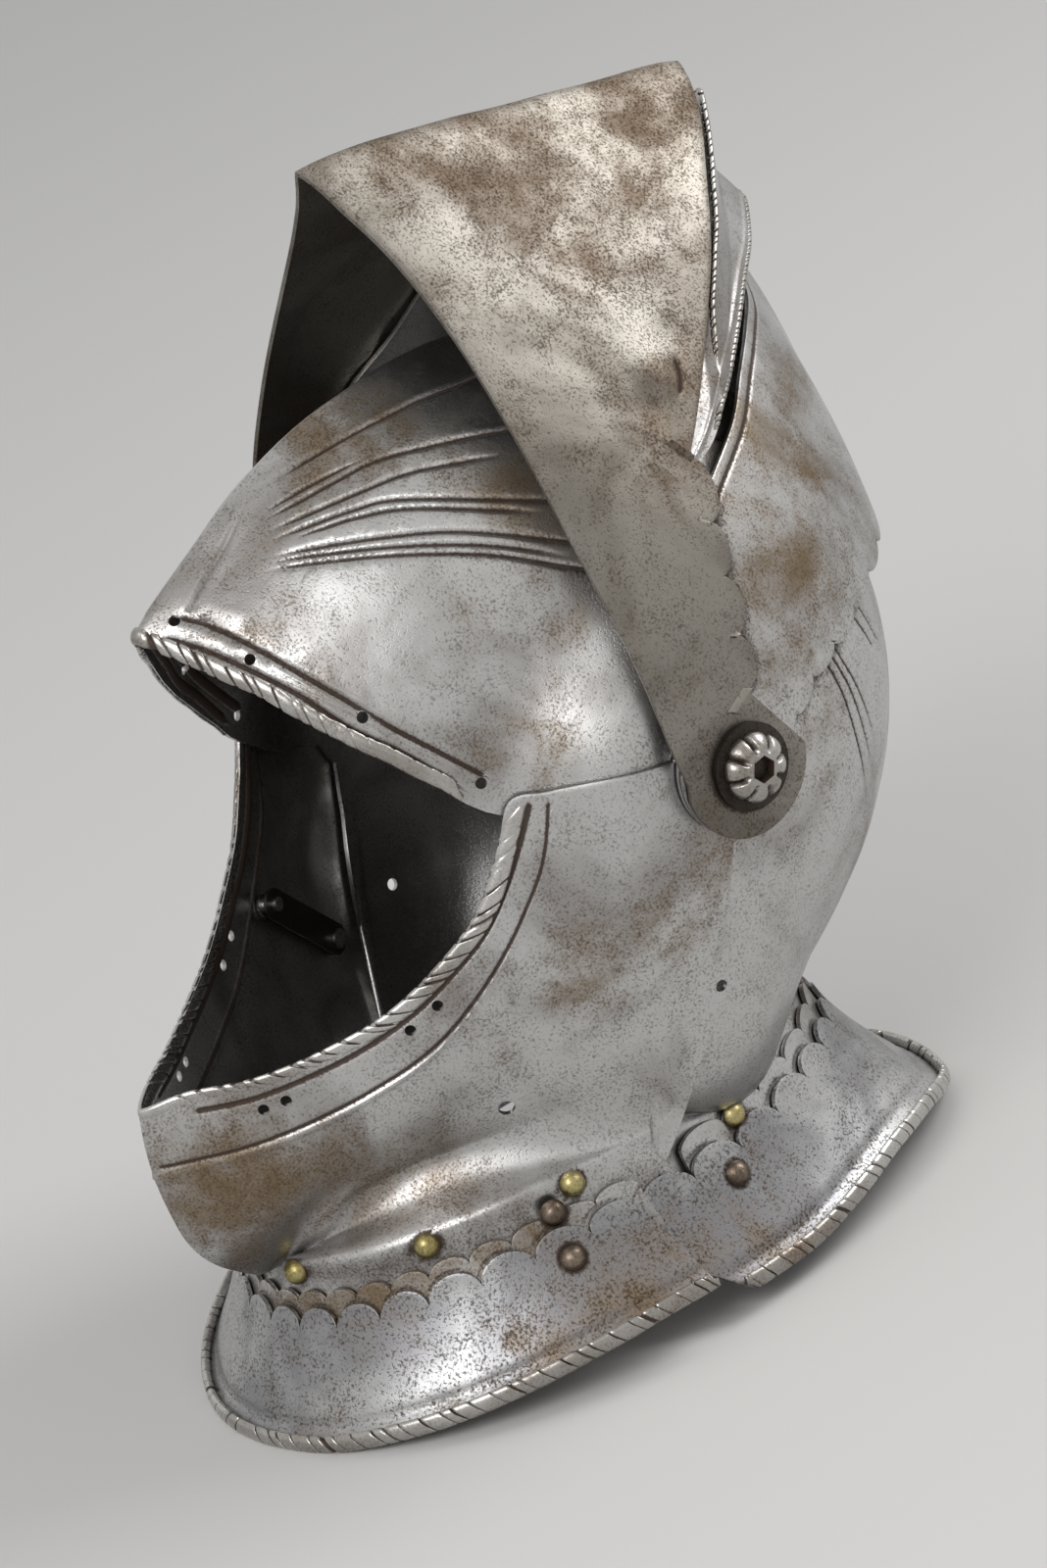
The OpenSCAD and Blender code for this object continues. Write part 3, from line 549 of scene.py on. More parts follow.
def woven(front, rear, u, v):
    """Chart places of a strip: u along both lines, v from front to rear."""
    def along(line):
        w = np.asarray(u) * (len(line) - 1)
        return np.stack([np.interp(w, range(len(line)), line[:, k]) for k in (0, 1)], -1)

    a, b = along(front), along(rear)
    line = a + (b - a) * v[:, None]
    ra, rb = np.hypot(*a.T), np.hypot(*b.T)
    far = smooth((np.minimum(ra, rb) - 0.25) / 0.3)
    fa, fb = (np.degrees(np.arctan2(p[:, 1], p[:, 0])) for p in (a, b))
    f = mix(np.degrees(np.arctan2(line[:, 1], line[:, 0])), mix(fa, fb, v), far)
    t = mix(np.hypot(*line.T), mix(ra, rb, v), far)
    return t, f


def strip(name, front, rear, cols, table, level, ridge, lines=(), depths=(), dents=()):
    """A plate between two lines, with grooves along the lines and a few dents."""
    rows = len(rear) - 1

    def place(u, v):
        t, f = woven(front, rear, np.asarray(u), np.asarray(v))
        return skin(t, f, table, level, 0, ridge)

    obj = blank(name, rows, cols)
    for reach, cuts in ((5.0, 1), (2.4, 1)) if len(lines) else ():
        divide_near(obj, place, lines, reach, cuts)
    flat = flat_places(obj)
    points = place(flat[:, 0], flat[:, 1])
    if len(lines):
        out = off_sheet(place, flat, points, 0.004, -20)
        away = [nearest(points, [line]) for line in lines]
        dirt = np.zeros(len(points))
        for d, deep in zip(away, depths):
            points = points - out * (deep * bell(d, 0.8))[:, None]
            dirt = np.maximum(dirt, (deep > 0) * 0.9 * bell(d, 0.8))
        for middle, wide, deep in dents:
            d = np.linalg.norm(points - middle, axis=1)
            points = points - out * (deep * bell(d, wide))[:, None]
            dirt += (deep > 0) * 0.5 * bell(d, 0.7 * wide)
        painted(obj, "grime_and_shade", dirt)
    points[flat[:, 0] > 0.9999, 0] = 0
    set_places(obj, to_row(points))
    mirrored(obj)
    return obj


# %% [markdown]
# ## Brow plate, visor and ventail
# The brow plate is thrown back over the crown. The visor lies between it and
# the ventail, with two roped rims. The ventail is the outermost: its prow
# makes the sharp roof over the brow, and its arms run down to the rosettes.

# %% Brow plate
BROW_FRONT = [(-0.015, 0.11), (-0.035, 0.22), (-0.07, 0.32), (-0.15, 0.4), (-0.306, 0.478),
              (-0.4, 0.532), (-0.51, 0.582), (-0.62, 0.625), (-0.7193, 0.6947)]
BROW_CUSPS = [(-0.12, 0.02), (-0.18, 0.06), (-0.262, 0.085), (-0.36, 0.112), (-0.47, 0.14),
              (-0.59, 0.158), (-0.72, 0.17), (-0.86, 0.172), (-0.984, 0.178)]
rear = np.concatenate([ear_side(150, 1, 14), scalloped(BROW_CUSPS, 14, -0.18),
                       [BROW_CUSPS[-1]]])
front = np.concatenate([ear_side(150, -1, 14), sampled(BROW_FRONT, len(rear) - 15)])
behind_edge = chart_line([(x * 1.002 - 0.013, y - 0.016) for x, y in BROW_FRONT[2:]], 60, BROW, 2,
                         0, COMB)
brow_plate = strip("brow_plate_fine", front, rear, 44, BROW, 2, COMB, [behind_edge], [0.35])
walled(brow_plate)

# %% Visor
VISOR_FRONT = [(0.045, 0.09), (0.035, 0.2), (0.02, 0.32), (-0.01, 0.43), (-0.07, 0.52),
               (-0.15, 0.6), (-0.23, 0.74), (-0.29, 0.86), (-0.342, 0.9397)]
VISOR_REAR = [(-0.035, 0.085), (-0.05, 0.2), (-0.07, 0.31), (-0.13, 0.42), (-0.22, 0.46),
              (-0.338, 0.527), (-0.43, 0.575), (-0.525, 0.619), (-0.621, 0.652),
              (-0.719, 0.695)]
crest = [(t * math.cos(math.radians(127 - lookup(t, CREST))),
          t * math.sin(math.radians(127 - lookup(t, CREST))))
         for t in (0.5, 0.56, 0.61, 0.65, 0.69, 0.73, 0.77, 0.81, 0.87, 0.93, 0.965, 1)]
bead = [(x + 0.022 * (1 + x), y + 0.012) for x, y in VISOR_REAR[3:]]
front = np.concatenate([ear_side(110, -1, 14), sampled(VISOR_FRONT, 90)])
rear = np.concatenate([ear_side(110, 1, 14), sampled(VISOR_REAR, 90)])
visor_lines = [chart_line(line, 60, VISOR, 3, 0, 1) for line in (crest, bead)]
visor = strip("visor_fine", front, rear, 44, VISOR, 3, 1, visor_lines, [-0.01, -0.45])
walled(visor)

# %% Ventail
VENT_FRONT = [(0.094, 0.012), (0.108, 0.09), (0.12, 0.24), (0.124, 0.42), (0.113, 0.58),
              (0.102, 0.74), (0.104, 0.86), (0.122, 0.95), (0.139, 0.9903)]
VENT_CUSPS = [(-0.032, 0.096), (-0.05, 0.181), (-0.076, 0.274), (-0.106, 0.354),
              (-0.135, 0.45)]
VENT_REAR = [(-0.135, 0.45), (-0.302, 0.576), (-0.393, 0.643), (-0.474, 0.716),
             (-0.541, 0.778), (-0.559, 0.829)]
rear = np.concatenate([ear_side(90, 1, 14), scalloped(VENT_CUSPS, 16, -0.3),
                       sampled(VENT_REAR, 44)])
front = np.concatenate([ear_side(90, -1, 14), sampled(VENT_FRONT, len(rear) - 15)])
blow = chart_line([(-0.19, 0.535), (-0.205, 0.55), (-0.215, 0.572)], 10, VENT, 4, 0, 3)
ventail = strip("ventail_fine", front, rear, 48, VENT, 4, 3, [blow], [0.7],
                [((66, 30, 105), 8, -1.6), ((71, 25, 100), 6, 1.3), ((60, 44, 112), 5, 0.8)])
walled(ventail)

# %% [markdown]
# ## The bevor
# The bevor guards the chin and carries the neck plates in front. A band runs
# round the face opening between a filed rope and a stepped line, with small
# lining holes in it. Below, the sheet turns in to the neck and out again.

# %% Bevor
BEVOR_TOP = [(0.09, 0.042), (0.207, 0.058), (0.288, 0.064), (0.345, 0.063), (0.385, -0.012),
             (0.441, -0.1), (0.513, -0.166), (0.598, -0.223), (0.692, -0.256),
             (0.797, -0.278), (0.9, -0.282), (0.956, -0.294)]
BEVOR_REAR = [(0.036, -0.108), (0.07, -0.2), (0.108, -0.285), (0.148, -0.38), (0.172, -0.45)]
BEVOR_LOW = [(0.172, -0.45), (0.24, -0.485), (0.31, -0.51), (0.39, -0.53), (0.47, -0.54),
             (0.56, -0.545), (0.65, -0.58), (0.743, -0.6691)]
BEVOR_STEP = [(0.293, 0.045), (0.339, -0.078), (0.426, -0.196), (0.527, -0.293),
              (0.628, -0.34), (0.739, -0.37), (0.833, -0.382), (0.915, -0.38)]
top = sampled(BEVOR_TOP[3:], 32)
lean = np.gradient(top, axis=0)
lean = np.stack([lean[:, 1], -lean[:, 0]], -1) / np.linalg.norm(lean, axis=1, keepdims=True)
BEVOR_LIP = (top + 0.029 * lean)[:-5:3]
BEVOR_Q = [86, 80, 73, 64, 53, 39, 20, 0]
rear_line = np.concatenate([ear_side(-30, -1, 20), sampled(BEVOR_REAR, 28),
                            through(BEVOR_LOW, np.arange(1, 57) / 8)])
front_line = np.concatenate([ear_side(-30, 1, 20), sampled(BEVOR_TOP, len(rear_line) - 21)])
bevor_rows, bevor_cols = len(rear_line) - 1, 56
neck_start = (20 + 29 - 1) / bevor_rows


def bevor_place(u, v):
    """Blank place to bevor point: v runs from the top edge past the rear edge."""
    u, v = np.asarray(u, float), np.asarray(v, float)
    row = 10 * v
    t, f = woven(front_line, rear_line, u, np.minimum(row, 7) / 7)
    plain = skin(t, f, BEVOR, 1, 0, 2)
    te, fe = woven(front_line, rear_line, u, np.ones_like(u))
    tp, fp = woven(front_line, rear_line, u, np.full_like(u, 6 / 7))
    tq, fq = woven(front_line, rear_line, u, np.full_like(u, 5 / 7))
    edge, before, far = (skin(*c, BEVOR, 1, 0, 2) for c in ((te, fe), (tp, fp), (tq, fq)))
    along = (u * bevor_rows - 49) / 8
    q = through(BEVOR_Q, np.clip(along + 1 / 8, 0, 7))
    levels = [neck(q, w, PITCH, FRONT_Z) for w in (-0.24, -0.15, 0.03, 0.26)]
    stack = np.stack([far, before, 0.55 * edge + 0.45 * levels[0]] + levels[1:])
    curve = through_rows(stack, np.clip(row - 5, 1, 5))
    tail = edge + (edge - before) * (np.maximum(row - 7, 0) * 0.1)[:, None]
    upper = np.where((row > 7)[:, None], tail, plain)
    lower = np.where((row > 6)[:, None], curve, plain)
    blend = smooth((along + 0.5) / 0.75)
    return upper + (lower - upper) * blend[:, None]


bevor_lines = [chart_line(p, 60, BEVOR, 1, 0, 2) for p in (BEVOR_STEP, BEVOR_LIP)]
proud = chart_line([(x * 1.004 + 0.003, y - 0.012) for x, y in BEVOR_STEP], 60, BEVOR, 1, 0, 2)
bevor = blank("bevor_fine", bevor_rows, bevor_cols)
divide_near(bevor, bevor_place, bevor_lines, 4.0, 1)
divide_near(bevor, bevor_place, bevor_lines, 2.0, 1)
flat = flat_places(bevor)
points = bevor_place(flat[:, 0], flat[:, 1])
step_away, lip_away, proud_away = (nearest(points, [line]) for line in bevor_lines + [proud])
inward = (points - [0, 0, -40]) / np.linalg.norm(points - [0, 0, -40], axis=1, keepdims=True)
points = points - inward * (0.85 * bell(step_away, 0.75) +
                            0.8 * bell(lip_away, 0.9) -
                            0.6 * bell(proud_away, 0.9))[:, None]
points[flat[:, 0] > 0.9999, 0] = 0
split = chart_line([(0.438, -0.548), (0.43, -0.563), (0.436, -0.575)], 8, BEVOR, 1)
# The bevor is darker in a band along the neck crease.
crease = smooth((flat[:, 1] - 0.5) / 0.25) * smooth((flat[:, 0] - 0.2) / 0.3)
crease *= smooth(1 - np.abs(points[:, 2] + 117) / 13)
painted(bevor, "grime_and_shade", np.maximum(
    0.95 * bell(step_away, 0.65) + bell(lip_away, 1.1),
    0.45 * crease + 0.9 * bell(nearest(points, [split]), 0.6)))
set_places(bevor, to_row(points))
mirrored(bevor)
walled(bevor)

# %% Holes in the bevor
HOLES = [(0.567, -0.259), (0.524, -0.232), (0.781, -0.326), (0.749, -0.32)]
HOOK = (0.443, -0.45)
bevor_holes = [shell_frame(c, BEVOR, 1, side) for c in HOLES for side in (1, -1)]
bored(bevor, bevor_holes, LINING_HOLE_R)
bored(bevor, [shell_frame(HOOK, BEVOR, 1, 1)], CHEEK_HOLE_R)

# %% [markdown]
# ## Neck plates
# Two short lames and two gorget plates lie round the neck, each with a
# scalloped top edge. The gorget plates flare out to a roped rim.

# %% Bands round the neck
def band(name, a, b, count, steps, low, high, end, level, rim, middle, lean, rows, over=None,
         trim=0.0):
    """A plate round the neck with scallops from angle a to the middle line.

    Over holds the a, b, count, low and high of a plate that lies on this one,
    and trim is how much the rim rises at the plate's open end."""
    u = np.arange(count * steps + 1) / steps
    w = 0.5 - 0.5 * np.cos(math.pi * (u - np.floor(u)))
    rise = np.sqrt(np.maximum(0, 1 - (2 * w - 1) ** 2))
    rise[0] = rise[-1] = 0.3
    turned = np.floor(u) + w
    angles, tops = a + (b - a) * turned / count, mix(low, high, rise)
    obj = blank(name, count * steps, rows)
    flat = flat_places(obj)
    i = np.rint(flat[:, 0] * count * steps).astype(int)
    v = mix(tops[i], end - trim * smooth(1 - np.abs(angles[i] - a) / 7), flat[:, 1])
    q = middle + (angles[i] - middle) * (1 + lean * v)
    channel = bell(v - 0.865, 0.035) if end > 0.99 else 0 * v
    points = neck(q, v, PITCH * level - 0.9 * channel, rim)
    dirt = 0.35 * channel
    # Dirt and painted shade: a thin dark line on this plate along the scalloped edge of the plate
    # that lies on it.
    if over:
        a, b, count, low, high = over
        turned = (q - a) / (b - a) * count
        rise = np.sqrt(np.clip(1 - (2 * (turned - np.floor(turned)) - 1) ** 2, 0, 1))
        dirt = 0.6 * bell(v - mix(low, high, rise), 0.025)
    painted(obj, "grime_and_shade", dirt)
    points[flat[:, 0] > 0.9999, 0] = 0
    set_places(obj, to_row(points))
    mirrored(obj)
    return walled(obj)


front_lame = band("front_lame_fine", 82, 0, 10, 14, 0.15, 0.06, 0.5, 2, FRONT_Z, 0, 0.04, 16,
                  (80, 0, 8, 0.3, 0.15))
front_plate = band("front_gorget_fine", 80, 0, 8, 20, 0.3, 0.15, 1, 3, FRONT_Z, 0, 0.07, 30)
rear_lame = band("rear_lame_fine", 93, 180, 8, 14, 0.13, 0.03, 0.5, 1, REAR_Z, 180, 0, 16,
                 (80, 180, 9, 0.3, 0.15))
rear_plate = band("rear_gorget_fine", 80, 180, 9, 20, 0.3, 0.15, 1, 2, REAR_Z, 180, -0.06, 30,
                  trim=0.22)

# %% [markdown]
# ## Roped edges
# The rims of the plates are turned over a wire and filed with slanted nicks,
# so that they look like rope. Each is a blank rolled into a flattened tube
# along the rim. The file bit unevenly: nicks come closer and wider apart, and
# where hands held the edge they are worn away.

# %% Rope along a line
def spaced(line, outward, step):
    """Places at even steps along a line, with the outward directions there."""
    gaps = np.linalg.norm(np.diff(line, axis=0), axis=1)
    s = np.concatenate([[0], np.cumsum(gaps)])
    n = max(8, int(round(s[-1] / step)))
    at = np.linspace(0, s[-1], n + 1)
    even = np.stack([np.interp(at, s, line[:, k]) for k in range(3)], -1)
    out = np.stack([np.interp(at, s, outward[:, k]) for k in range(3)], -1)
    return even, out, at


def roped(name, line, outward, thick, wide, pitch, inset=0.0, wind=0.35, deep=0.4, narrow=0.12,
          kept=((0, 1), (1, 1))):
    """A flattened tube along the line with slanted nicks.

    Outward points off the plate, inset moves the tube sideways on it, and kept
    tells how much of the nicks is left at each millimetre from the middle."""
    p, out, s = spaced(np.asarray(line), np.asarray(outward), pitch / 14)
    ahead = np.gradient(p, axis=0)
    ahead /= np.linalg.norm(ahead, axis=1, keepdims=True)
    out = out - ahead * (out * ahead).sum(1)[:, None]
    out /= np.linalg.norm(out, axis=1, keepdims=True)
    side = np.cross(ahead, out)
    obj = blank(name, len(p) - 1, 16)
    flat = flat_places(obj)
    i = np.rint(flat[:, 0] * (len(p) - 1)).astype(int)
    turn = flat[:, 1] * 2 * math.pi
    away = np.abs(s[i] - s[-1] / 2)
    slant = np.clip((s[i] - s[-1] / 2) / 8, -1, 1) * wind * pitch * np.cos(turn)

    def there(a):
        return np.stack([np.interp(s[i] - slant, s, a[:, k]) for k in range(3)], -1)

    uneven = 0.16 * np.sin(away * 0.83) + 0.12 * np.sin(away * 0.31 + 1)
    phase = away / pitch + uneven
    nick = np.clip(1 - np.abs(phase - np.rint(phase)) / narrow, 0, 1)
    nick = nick * lookup(away, kept) * (0.75 + 0.25 * np.sin(np.rint(phase) * 2.3))
    ends = np.minimum(smooth(s[i] / 2.4), smooth((s[-1] - s[i]) / 2.4))
    r = np.sqrt(np.clip(ends, 0, 1)) * (1 - deep * nick)
    points = (there(p) + there(side) * (inset + r * wide * np.cos(turn))[:, None]
              + there(out) * (r * thick * np.sin(turn))[:, None])
    painted(obj, "grime_and_shade", 1.5 * nick)
    set_places(obj, to_row(points))
    joined(obj, 1e-6)
    shaded(obj)
    tally(obj)
    return obj


def across(left):
    """A line from the left side over the middle to its mirror image."""
    left = np.asarray(left)
    return np.concatenate([left, (left * [-1, 1, 1])[::-1][1:]])


def on_shell(points, n, table, level, depth, ridge=0.0):
    """The line over the shell and its outward directions, both sides."""
    line = chart_line(points, n, table, level, depth, ridge)
    below = chart_line(points, n, table, level, depth + 2, ridge)
    out = line - below
    line[-1, 0] = 0
    return across(line), across(out)


# %% The roped rims
brow_edge = [(lookup(f, SKULL_EDGE) * math.cos(math.radians(f)),
              lookup(f, SKULL_EDGE) * math.sin(math.radians(f)))
             for f in (12, 15, 18, 21, 23, 25.5, 27.5, 29.5, 30.6, 31.6, 33)]
ropes = []


def rope_on(body, *args, **settings):
    ropes.append((roped(*args, **settings), body))


rope_on("helmet", "brow_rope", *on_shell(brow_edge, 60, SKULL, 0, 0.5, COMB), 1.3, 2.5, 5.0,
        inset=1.9, wind=0.55, narrow=0.22, kept=((0, 1), (30, 1), (60, 0.5), (80, 0.15)))
rope_on("bevor", "bevor_rope", *on_shell(BEVOR_TOP[3:], 90, BEVOR, 1, 0.5, 2), 1.4, 2.7, 5.6,
        inset=-2.3, wind=0.6, narrow=0.22, kept=((0, 0), (14, 0), (19, 1), (126, 1), (136, 0.3)))
rope_on("visor", "visor_rim_rope", *on_shell(VISOR_REAR[4:], 60, VISOR, 3, 0.6, 1), 1.0, 1.1, 2.5,
        inset=-0.6, narrow=0.2, deep=0.3)
rope_on("visor", "visor_crest_rope", *on_shell(crest[2:], 90, VISOR, 3, 0.5, 1), 1.1, 1.1, 3.0,
        narrow=0.2, deep=0.35)
for body, name, start, end, steps, level, rim, inset in (
        ("bevor", "front_rim_rope", 80 * 1.07, 0, 80, 3, FRONT_Z, 2.4),
        ("helmet", "rear_rim_rope", 180 + (84.5 - 180) * 0.94, 180, 90, 2, REAR_Z, -2.4)):
    neck_q, at_rim = np.linspace(start, end, steps), np.ones(steps)
    line = neck(neck_q, at_rim, PITCH * level - 0.2, rim)
    out = neck(neck_q, at_rim, PITCH * level + 4, rim) - line
    line[-1, 0] = 0
    rope_on(body, name, across(line), across(out), 1.5, 2.9, 5.6, inset=inset)

# %% [markdown]
# ## Rosettes
# Over each pivot sits a thick round head, filed into eight petals that swell
# and fall to the rim, with a deep cut between each two. A flat land is left
# round the six-sided recess, in which the end of the bolt shows.

# %% Two rosettes
def rosette(name, node, side):
    base = max(side * (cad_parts[node].matrix_world @ Vector(c)).x
               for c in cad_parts[node].bound_box) / MM - 5.5
    profile = [(2.6, 0), (2.6, 2.0), (3.6, 2.0), (3.6, 5.35), (3.8, 5.5), (4.8, 5.5), (5.6, 5.4),
               (6.5, 5.15), (7.4, 4.7), (8.3, 4.1), (9.1, 3.4), (9.8, 2.6), (10.2, 1.8),
               (10.4, 1.0), (10.4, 0.5), (10.3, 0), (2.6, 0)]
    obj = blank(name, 192, len(profile) - 1)
    flat = flat_places(obj)
    row = np.rint(flat[:, 1] * (len(profile) - 1)).astype(int)
    r, h = np.array(profile)[row].T
    a = 360 * flat[:, 0]
    corner = np.cos(np.radians(30)) / np.cos(np.radians((a - 11) % 60 - 30))
    r = np.where((row == 2) | (row == 3) | (row == 4), r * corner * 1.12, r)
    petal = np.abs((a - 5) % 45 - 22.5) / 22.5
    cut = np.clip(1 - (1 - petal) * np.radians(22.5) * r / 1.15, 0, 1)
    open_part = smooth((r - 4.6) / 2.0)
    swell = (1 - petal ** 2) * 0.9 - 0.55
    tops = (row > 5) & (row < 15)
    h = np.where(tops, h + open_part * (swell * smooth((h - 0.3) / 2) - 2.3 * cut * h / 5.5), h)
    r = np.where((row > 9) & (row < 16), r * (1 - 0.07 * petal ** 3 - 0.1 * cut), r)
    h = np.clip(h, 0, 5.5)
    angle = np.radians(a)
    points = np.stack([side * (base + h), r * np.cos(angle), r * np.sin(angle)], -1)
    painted(obj, "grime_and_shade", np.where(tops, 0.9 * cut * open_part, 0) + np.where(row < 4, 0.8, 0))
    set_places(obj, to_row(points))
    joined(obj, 1e-6)
    shaded(obj, 50)
    tally(obj)
    return obj


rosettes = [rosette("left_rosette_fine", "left_rosette", 1),
            rosette("right_rosette_fine", "right_rosette", -1)]

# %% [markdown]
# ## Metals
# The plates are wrought iron and mild steel, hammered, ground and polished,
# then kept for centuries. Bare metal stays satin bright where it was handled.
# Thin brown rust has bitten into it in clouds, with black pits the size of a
# pinhead, and dirt lies in every groove. Inside, the forge skin is still black.

# %% Colour and node helpers
def linear(code):
    """An sRGB hex colour as the linear values that Blender's sockets take."""
    parts = [int(code[i:i + 2], 16) / 255 for i in (1, 3, 5)]
    return tuple(p / 12.92 if p <= 0.04045 else ((p + 0.055) / 1.055) ** 2.4
                 for p in parts) + (1,)


def add(tree, kind, links=None, **settings):
    """Adds a node, sets its fields, and fills or links its sockets."""
    made = tree.nodes.new(kind)
    for key, value in settings.items():
        setattr(made, key, value)
    for key, value in (links or {}).items():
        if isinstance(value, bpy.types.NodeSocket):
            tree.links.new(value, made.inputs[key])
        else:
            made.inputs[key].default_value = value
    return made


def fresh(name):
    material = bpy.data.materials.new(name)
    material.use_nodes = True
    material.node_tree.nodes.clear()
    return material, material.node_tree


def finish_surface(tree, shader):
    add(tree, "ShaderNodeOutputMaterial", {"Surface": shader.outputs[0]})


def worn_metal(name, bare, film, pit, cloud=0.5, rough=0.3, pits=0.5, metal=1.0, cloud_mm=55,
               pit_mm=0.8):
    """Old metal: bare, filmed with thin rust, peppered with pits, dirty in its grooves, and
    darkened with painted shade where parts lie over it.
    """
    material, tree = fresh(name)
    place = add(tree, "ShaderNodeTexCoord").outputs["Object"]
    noise, own = {}, {}
    for key, size, detail, roughness, warp in (
            ("cloud", cloud_mm, 4, 0.6, 0.5), ("blot", cloud_mm / 5, 5, 0.68, 0.4),
            ("speckle", pit_mm, 3, 0.65, 0), ("hammer", 24, 2, 0.45, 0)):
        noise[key] = add(tree, "ShaderNodeTexNoise",
                         {"Vector": place, "Scale": 1000 / size, "Detail": detail,
                          "Roughness": roughness, "Distortion": warp}).outputs["Fac"]
    for key in ("film", "grime_and_shade"):
        own[key] = add(tree, "ShaderNodeAttribute", attribute_name=key).outputs["Fac"]
    total = {}
    for key, value, terms in (
            ("stain", noise["cloud"],
             ((noise["blot"], 0.5), (own["film"], 0.32), (noise["speckle"], 0.45))),
            ("bite", noise["speckle"], ((noise["blot"], 0.35),)),
            ("dirt", own["grime_and_shade"], ((noise["speckle"], 0.5),))):
        for part, weight in terms:
            value = add(tree, "ShaderNodeMath", {0: part, 1: weight, 2: value},
                        operation="MULTIPLY_ADD").outputs[0]
        total[key] = value
    mask = {}
    for key, value, low, high, most in (
            ("dusk", noise["cloud"], 0.38, 0.62, 1.0),
            ("film", total["stain"], 1.1 - 0.25 * cloud, 1.52 - 0.25 * cloud, 0.85),
            ("pepper", total["bite"], 0.66, 0.86, pits),
            ("dirt", total["dirt"], 0.45, 0.95, 0.95)):
        mask[key] = add(tree, "ShaderNodeMapRange",
                        {"Value": value, "From Min": low, "From Max": high, "To Max": most},
                        interpolation_type="SMOOTHSTEP").outputs[0]
    # The dark brown of the dirt mask is real dirt in grooves and nicks, and painted shade along
    # the edges of plates that lie over others and round heads.
    base = linear(bare[0])
    for key, code in (("dusk", bare[1]), ("film", film), ("pepper", pit), ("dirt", "#372415")):
        base = add(tree, "ShaderNodeMix", {0: mask[key], 6: base, 7: linear(code)},
                   data_type="RGBA").outputs[2]
    for key, value, terms in (
            ("roughness", rough, (("film", 0.16), ("pepper", 0.15), ("dirt", 0.3))),
            ("metallic", metal, (("film", -0.25), ("dirt", -0.7))),
            ("relief", mask["pepper"], (("film", 0.3),))):
        for part, weight in terms:
            value = add(tree, "ShaderNodeMath", {0: mask[part], 1: weight, 2: value},
                        operation="MULTIPLY_ADD", use_clamp=part == "dirt").outputs[0]
        total[key] = value
    bump = add(tree, "ShaderNodeBump",
               {"Strength": 0.3, "Distance": 0.0002, "Height": total["relief"]}, invert=True)
    dent = add(tree, "ShaderNodeBump", {"Strength": 0.35, "Distance": 0.0012,
                                        "Height": noise["hammer"], "Normal": bump.outputs[0]})
    shader = add(tree, "ShaderNodeBsdfPrincipled",
                 {"Base Color": base, "Metallic": total["metallic"],
                  "Roughness": total["roughness"], "Normal": dent.outputs[0]})
    finish_surface(tree, shader)
    return material


# %% The finishes
# satin steel of the skull and bevor: cool silver with a warm brown bloom
plate_steel = worn_metal("satin_wrought_steel", ("#c4c3c2", "#9d9a98"), "#76603f", "#2b2521")
# pitted steel of the neck plates: grainy all over, as after a coarse scouring
gorget_steel = worn_metal("pitted_gorget_steel", ("#b9b9b9", "#8f8f92"), "#7d6543", "#2e2b2a",
                          cloud=0.45, rough=0.36, pits=0.75, pit_mm=0.9)
# the ventail kept most of its brown: the darkest plate
browned_steel = worn_metal("browned_crown_steel", ("#928d85", "#6f6a63"), "#5f4c39", "#241e19",
                           cloud=0.6, rough=0.4, pits=0.55)
# the rims are rubbed bright by handling
rope_steel = worn_metal("filed_rope_steel", ("#c6c4c1", "#9f9b96"), "#765b3b", "#2b2521",
                        cloud=0.4, rough=0.27, pits=0.3)
# washers, nuts and bolts: iron nearly black in its hollows
dark_iron = worn_metal("dark_pivot_iron", ("#4d4843", "#37332f"), "#38291e", "#14110f",
                       cloud=0.6, rough=0.42)
# studs and plume holder: yellow cast brass under brown dirt
aged_brass = worn_metal("aged_cast_brass", ("#bdb180", "#988c5a"), "#625733", "#3a3422",
                        cloud=0.6, rough=0.34, pits=0.4, cloud_mm=12)
# rivets of the plates: bronze gone brown
brown_bronze = worn_metal("browned_bronze", ("#8a7c6f", "#665a4f"), "#4b3c30", "#221b17",
                          rough=0.36, cloud_mm=10)
# inside, the scale of the forge was never ground off
forge_black = worn_metal("forge_black_inside", ("#1d1815", "#130f0d"), "#2a1c14", "#0b0908",
                         cloud=0.5, rough=0.6, metal=0.3, cloud_mm=40)

# %% [markdown]
# Rust does not come evenly. It starts where damp lay: under the raised ventail,
# on the chin, behind the ear. Each cloud here is a place, in millimetres from
# the pivot line, with its reach and strength.

